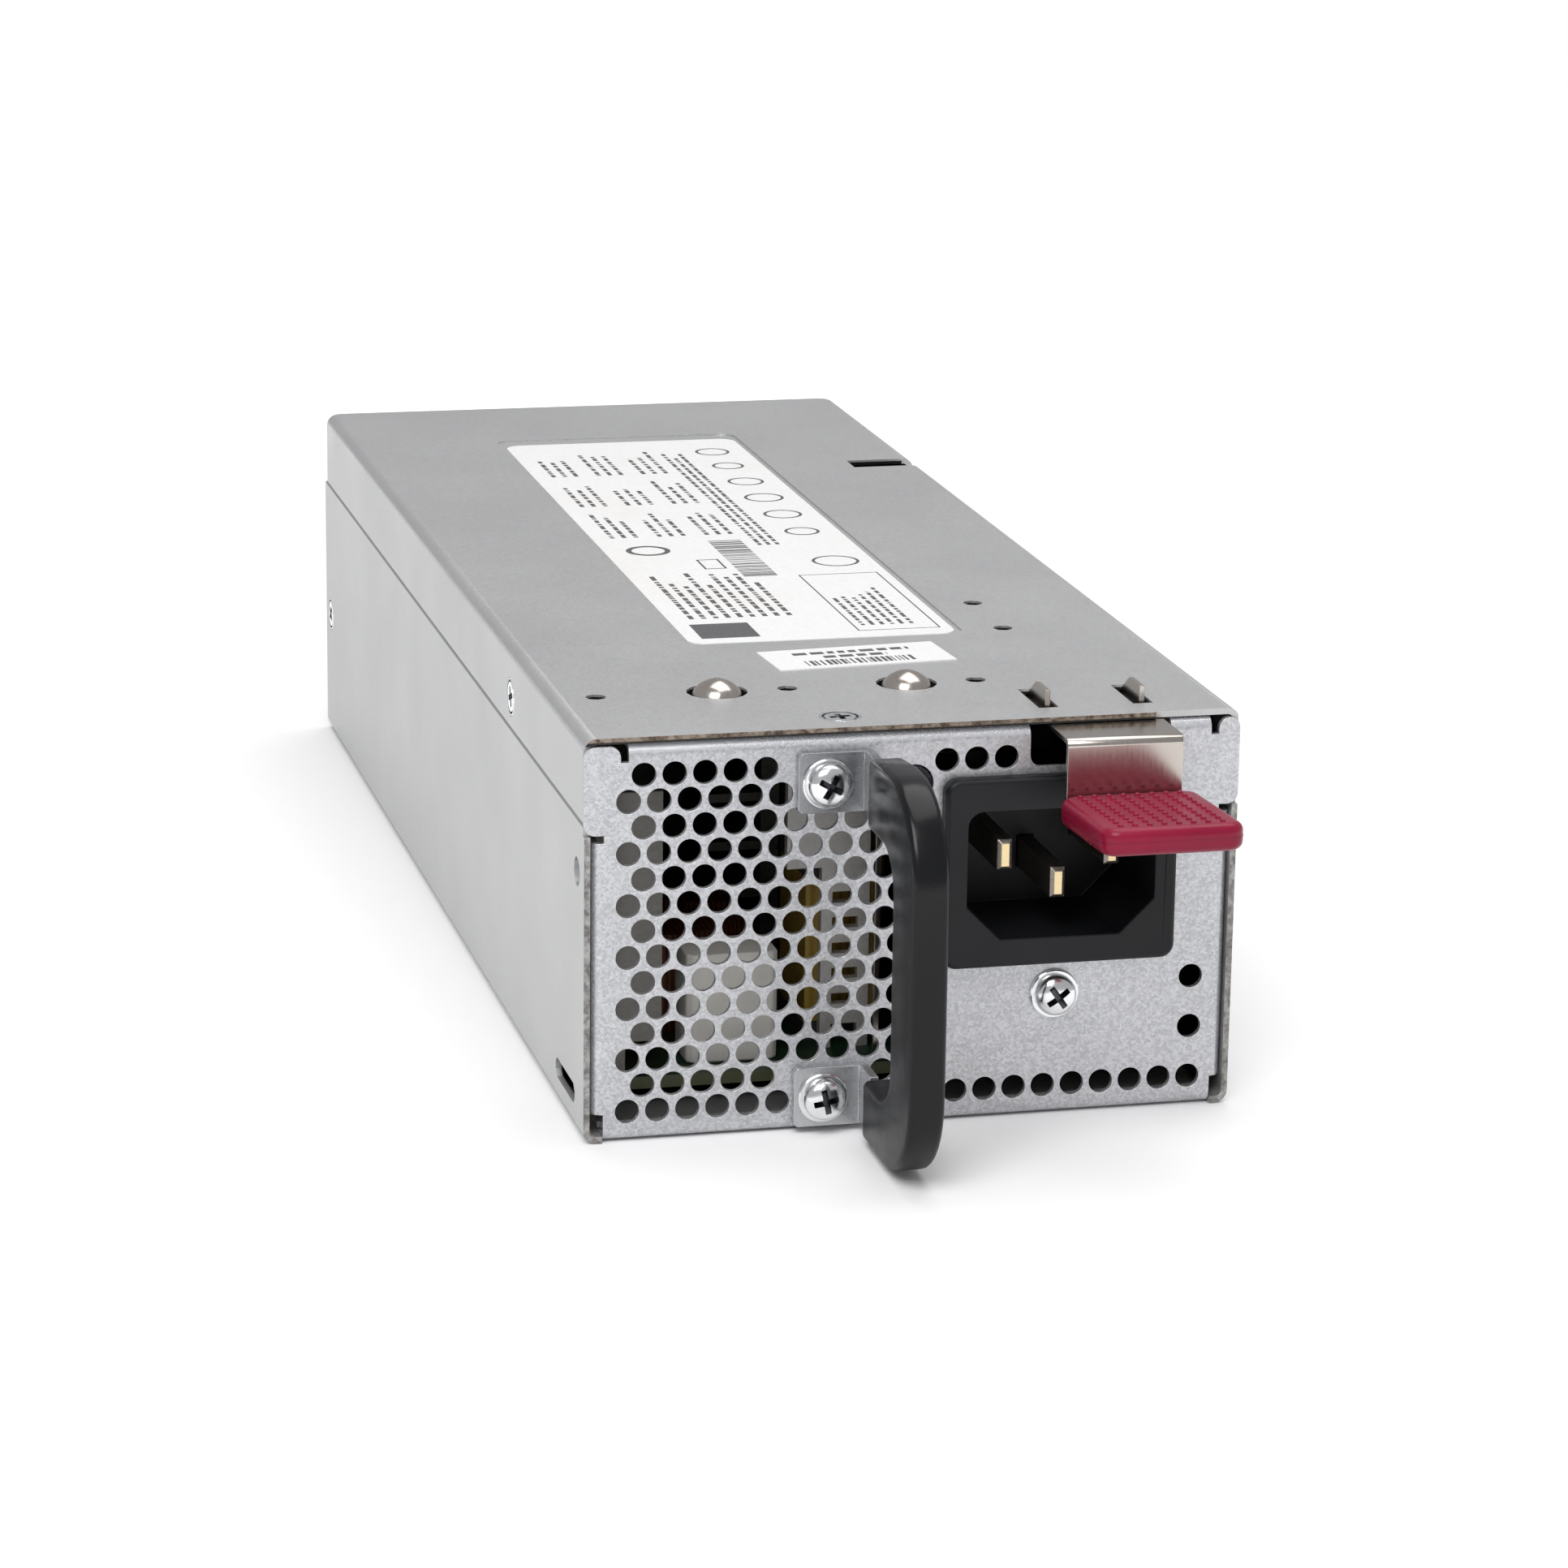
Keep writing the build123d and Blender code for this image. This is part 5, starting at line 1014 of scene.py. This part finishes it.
def fasteners():
    """Screws and washers. The last number of each place is the turn of its cross."""
    screw_y = -BRACKET_SHEET - WASHER
    screws = [
        moved(pan_head(), facing(TO_FRONT, BRACKET_SCREW_X, screw_y, z, turn))
        for z, turn in zip(BRACKET_Z, (12, 62))
    ]
    show("handle_screw_pair", join(screws), "handle_screws")
    rings = [moved(washer_ring(), facing(TO_FRONT, BRACKET_SCREW_X, -BRACKET_SHEET, z)) for z in BRACKET_Z]
    show("handle_washer_pair", join(rings), "handle_washers")
    x, z = GROUND_SCREW
    show("earth_screw", moved(pan_head(), facing(TO_FRONT, x, -WASHER, z, 35)), "inlet_ground_screw")
    show("earth_washer", moved(washer_ring(), facing(TO_FRONT, x, 0, z)), "ground_washer")
    sides = ((TO_LEFT, -CASE_HALF), (TO_RIGHT, CASE_HALF))
    cover = [moved(flat_head(), facing(TO_TOP, *COVER_SCREW, COVER_TOP, 8))]
    cover += [moved(flat_head(), facing(outwards, x, *FLANGE_SCREW, 20)) for outwards, x in sides]
    show("cover_screw_set", join(cover), "cover_screws")
    rear = [moved(flat_head(), facing(outwards, x, *REAR_SCREW, 50)) for outwards, x in sides]
    show("rear_screw_set", join(rear), "rear_screws")
    fan = []
    for u in (-1, 1):
        for v in (-1, 1):
            x, z = FAN_CENTRE[0] + u * FAN_SCREW_REACH, FAN_CENTRE[1] + v * FAN_SCREW_REACH
            fan.append(moved(pan_head(), facing(TO_REAR, x, REAR_FACE, z, 30 * u + 20 * v)))
    show("fan_screw_set", join(fan), "fan_screws")


# Handle, grip and domed contacts
def to_side(y, z, x):
    """Place of a point of an outline that is drawn as seen from the side."""
    return place(x, y, z)


def handle():
    side = rounded(HANDLE_OUTLINE, steps=10)
    bm = prism(side, HANDLE_X - HANDLE_HALF, HANDLE_X + HANDLE_HALF, to_side)
    show("handle_moulding", round_edges(bm, HANDLE_EDGE, segments=4), "handle")


def grip():
    """Grip with round corners and a faint parting line half way up its sides."""
    plan = rounded([
        (GRIP_LEFT, GRIP_BACK, GRIP_REAR_CORNER), (GRIP_RIGHT, GRIP_BACK, GRIP_CORNER),
        (GRIP_RIGHT, GRIP_FRONT, GRIP_CORNER), (GRIP_LEFT, GRIP_FRONT, GRIP_CORNER),
    ])
    body = round_edges(prism(plan, GRIP_LOW, GRIP_HIGH, place), GRIP_EDGE, segments=5)
    middle = (GRIP_LOW + GRIP_HIGH) / 2
    seam = prism(outset(plan, SEAM_PROUD), middle - SEAM_HALF, middle + SEAM_HALF, place)
    hinge = Matrix.Translation(place(0, GRIP_BACK, GRIP_LOW))
    tilt = hinge @ Matrix.Rotation(math.radians(-GRIP_TILT), 4, "X") @ hinge.inverted()
    show("grip_moulding", moved(join([body, seam, *studs()]), tilt), "latch_grip", "latch")


def outset(loop, distance):
    """The loop moved outwards along its corners' bisectors."""
    wider = []
    for index, point in enumerate(loop):
        along = (Vector(loop[(index + 1) % len(loop)]) - Vector(loop[index - 1])).normalized()
        wider.append(tuple(Vector(point) - Vector((along.y, -along.x)) * distance))
    return wider


def studs():
    """Rows of small round studs on the grip's top."""
    centre = ((GRIP_LEFT + GRIP_RIGHT) / 2, (GRIP_FRONT + GRIP_BACK) / 2)
    for column in range(STUD_COLUMNS):
        for row in range(STUD_ROWS):
            x = centre[0] + (column - (STUD_COLUMNS - 1) / 2) * STUD_PITCH
            y = centre[1] + (row - (STUD_ROWS - 1) / 2) * STUD_PITCH
            yield moved(lathe(STUD, STUD_STEPS), Matrix.Translation(place(x, y, GRIP_HIGH)))


def contact(name, node, body, x):
    """Spring finger as wide as its node, with a true dome on it."""
    low, high = (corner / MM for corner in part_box(node))
    width = (high.y - low.y) / 2
    plan = rounded([
        (low.x, DOME_Y - width, FINGER_CORNER), (high.x, DOME_Y - width, FINGER_CORNER),
        (high.x, DOME_Y + width, FINGER_CORNER), (low.x, DOME_Y + width, FINGER_CORNER),
    ])
    finger = prism(plan, low.z, COVER_UNDERSIDE, place)
    rise = DOME_TOP - COVER_UNDERSIDE
    profile = [(0, rise)]
    for step in range(1, DOME_STEPS + 1):
        angle = math.radians(90 * step / DOME_STEPS)
        profile.append((DOME_RADIUS * math.sin(angle) ** DOME_FLARE, rise * math.cos(angle)))
    profile += [(0, 0)]
    dome = moved(lathe(profile, DOME_SIDES), Matrix.Translation(place(x, DOME_Y, COVER_UNDERSIDE)))
    show(name, join([finger, dome]), node, body)


# Plate and film seen through the front
def filter_plate():
    """The bent plate in the left corner, with its top as low as it shows through the perforation."""
    bm = bmesh.new()
    bm.from_mesh(frame["nodes"]["filter_heat_sink"].data)
    top = max(vert.co.z for vert in bm.verts)
    for vert in bm.verts:
        if vert.co.z > top - MM:
            vert.co.z -= PLATE_DROP * MM
    soften(show("filter_plate", bm, "filter_heat_sink"), SOFT_EDGES["filter_heat_sink"])


def wall_shade_film():
    """Thin near-black film that lines the right wall beside the front corner, a sheet of painted shade
    behind the holes there.
    """
    bm = prism(FILM_OUTLINE, FILM_X, FILM_X + FILM_SHEET, to_side)
    show("wall_shade_film", bm, material=MATERIALS["insulating_film"])


# Printing on the labels: bars, boxes and rings only
def bar(x0, x1, y0, y1, z):
    bm = bmesh.new()
    bm.faces.new([bm.verts.new(place(x, y, z)) for x, y in ((x0, y0), (x1, y0), (x1, y1), (x0, y1))])
    return bm


def box_lines(x0, x1, y0, y1, line, z):
    return [
        bar(x0, x1, y0, y0 + line, z), bar(x0, x1, y1 - line, y1, z),
        bar(x0, x0 + line, y0, y1, z), bar(x1 - line, x1, y0, y1, z),
    ]


def ring_mark(x, y, radius, line, z):
    bm = bmesh.new()
    outer, inner = (circle(x, y, size, RING_STEPS) for size in (radius, radius - line))
    flat_face(bm, [outer, inner], lambda u, v: place(u, v, z))
    return bm


def stripes(start, end, widths, gaps, rng):
    """Barcode-like bars along one axis, each as (start, end)."""
    while start < end:
        width = rng.choice(widths)
        yield start, start + width
        start += width + rng.choice(gaps)


def text_line(x, y0, y1, z, height, rng):
    """A line of print read along Y, as short bars of uneven length."""
    y = y0
    while y < y1:
        length = min(rng.uniform(*WORDS), y1 - y)
        yield bar(x, x + height, y, y + length, z)
        y += length + rng.uniform(*WORD_GAPS)


def large_print():
    """Print of the large label: a framed notice, a row of rings, paragraphs and a barcode."""
    rng = random.Random(7)
    z = LABEL_FACE + INK
    parts = [line for box in BOXES for line in box_lines(*box, z)]
    parts += [ring_mark(*ring, z) for ring in RINGS]
    parts.append(bar(*BLACK_BOX, z))
    for left, pitch, lines, front, shortest, longest, height, group in PARAGRAPHS:
        for row in range(lines):
            if row % (group + 1) < group:
                end = rng.uniform(shortest, longest)
                parts += text_line(left + row * pitch, front, end, z, height, rng)
    left, right, front, rear = BARCODE
    for start, end in stripes(front, rear, BARCODE_BARS, BARCODE_GAPS, rng):
        parts.append(bar(left, right, start, end, z))
    show("large_label_print", join(parts), material=PRINT)


def small_print():
    """Print of the small label, which sits slightly askew: a barcode under two lines."""
    rng = random.Random(3)
    z = SMALL_LABEL_FACE + INK
    left, right, front, rear = SMALL_BARCODE
    parts = [bar(*ends, front, rear, z) for ends in stripes(left, right, SMALL_BARS, SMALL_GAPS, rng)]
    for y, x, end in SMALL_LINES:
        while x < end:
            step = min(rng.uniform(*SMALL_WORDS), end - x)
            parts.append(bar(x, x + step, y, y + SMALL_LINE_HEIGHT, z))
            x += step + SMALL_WORD_GAP
    centre = place(*SMALL_LABEL, 0)
    turn = Matrix.Translation(centre) @ Matrix.Rotation(math.radians(SMALL_LABEL_TURN), 4, "Z")
    show("small_label_print", moved(join(parts), turn @ Matrix.Translation(-centre)), material=PRINT)


# Nodes of the CAD that stay in view
def dress_frame():
    """Materials and softened edges of the CAD nodes."""
    own = {}
    for name, (nodes, kind, look) in NODE_LOOKS.items():
        own.update(dict.fromkeys(nodes, kind(name, **look)))
    for name, obj in frame["nodes"].items():
        obj.data.materials.clear()
        obj.data.materials.append(own.get(name) or MATERIALS[SLOTS[name]])
        if name in SOFT_EDGES:
            soften(obj, SOFT_EDGES[name])


# Stage, light and camera
def floor():
    """Pale floor that takes the shadow near the object and is plain white further out."""
    bm = bmesh.new()
    corners = ((-1, -1), (1, -1), (1, 1), (-1, 1))
    bm.faces.new([bm.verts.new((x * FLOOR_HALF, y * FLOOR_HALF, -FLOOR_GAP)) for x, y in corners])
    mesh = bpy.data.meshes.new("floor")
    bm.to_mesh(mesh)
    bm.free()
    shader = Shader("floor")
    path = shader.tree.nodes.new("ShaderNodeLightPath")
    seen = shader.math("MAXIMUM", path.outputs["Is Camera Ray"], path.outputs["Is Glossy Ray"])
    reach = shader.add("ShaderNodeVectorMath", Vector=shader.coords)
    reach.operation = "LENGTH"
    far = shader.spread(reach.outputs["Value"], *FADE)
    shader.set("Emission Color", rgba(WHITE))
    shader.set("Emission Strength", shader.math("MULTIPLY", far, seen))
    shader.set("Base Color", shader.mix(seen, rgba((0.80, 0.80, 0.80)), rgba(WHITE)))
    shader.set("Roughness", 0.9)
    shader.set("Specular IOR Level", 0.1)
    mesh.materials.append(shader.material)
    obj = bpy.data.objects.new("floor", mesh)
    bpy.context.scene.collection.objects.link(obj)
    obj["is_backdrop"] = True


def world():
    """Grey surroundings, white where the camera looks straight at them."""
    scene_world = bpy.data.worlds.new("studio")
    scene_world.use_nodes = True
    tree = scene_world.node_tree
    plain = tree.nodes["Background"]
    plain.inputs["Color"].default_value = rgba(WORLD_GREY)
    white = tree.nodes.new("ShaderNodeBackground")
    white.inputs["Color"].default_value = rgba(WHITE)
    path = tree.nodes.new("ShaderNodeLightPath")
    mix = tree.nodes.new("ShaderNodeMixShader")
    tree.links.new(path.outputs["Is Camera Ray"], mix.inputs["Fac"])
    tree.links.new(plain.outputs[0], mix.inputs[1])
    tree.links.new(white.outputs[0], mix.inputs[2])
    tree.links.new(mix.outputs[0], tree.nodes["World Output"].inputs["Surface"])
    bpy.context.scene.world = scene_world


def softbox(name, location, size, power):
    light = bpy.data.lights.new(name, "AREA")
    light.shape = "RECTANGLE"
    light.size, light.size_y = size
    light.energy = power
    obj = bpy.data.objects.new(name, light)
    obj.location = location
    obj.rotation_euler = (Vector(LAMP_AIM) - Vector(location)).to_track_quat("-Z", "Y").to_euler()
    bpy.context.scene.collection.objects.link(obj)


def camera():
    data = bpy.data.cameras.new("camera")
    data.lens = LENS
    data.sensor_width = SENSOR
    obj = bpy.data.objects.new("camera", data)
    turned = Matrix(CAMERA_AXES).transposed().to_4x4()
    obj.matrix_world = Matrix.Translation(CAMERA_PLACE) @ turned
    bpy.context.scene.collection.objects.link(obj)
    bpy.context.scene.camera = obj


dress_frame()
front_panel()
fasteners()
handle()
grip()
for side, x in zip(("left", "right"), DOME_X):
    contact("contact_dome_" + side, "contact_spring_" + side, "contact_" + side, x)
filter_plate()
wall_shade_film()
large_print()
small_print()
floor()
world()
for name, settings in SOFTBOXES.items():
    softbox(name, *settings)
camera()
bpy.context.scene.view_settings.view_transform = "Standard"

box_at_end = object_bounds()
[[list(corner) for corner in box] for box in (box_at_load, box_at_end)]
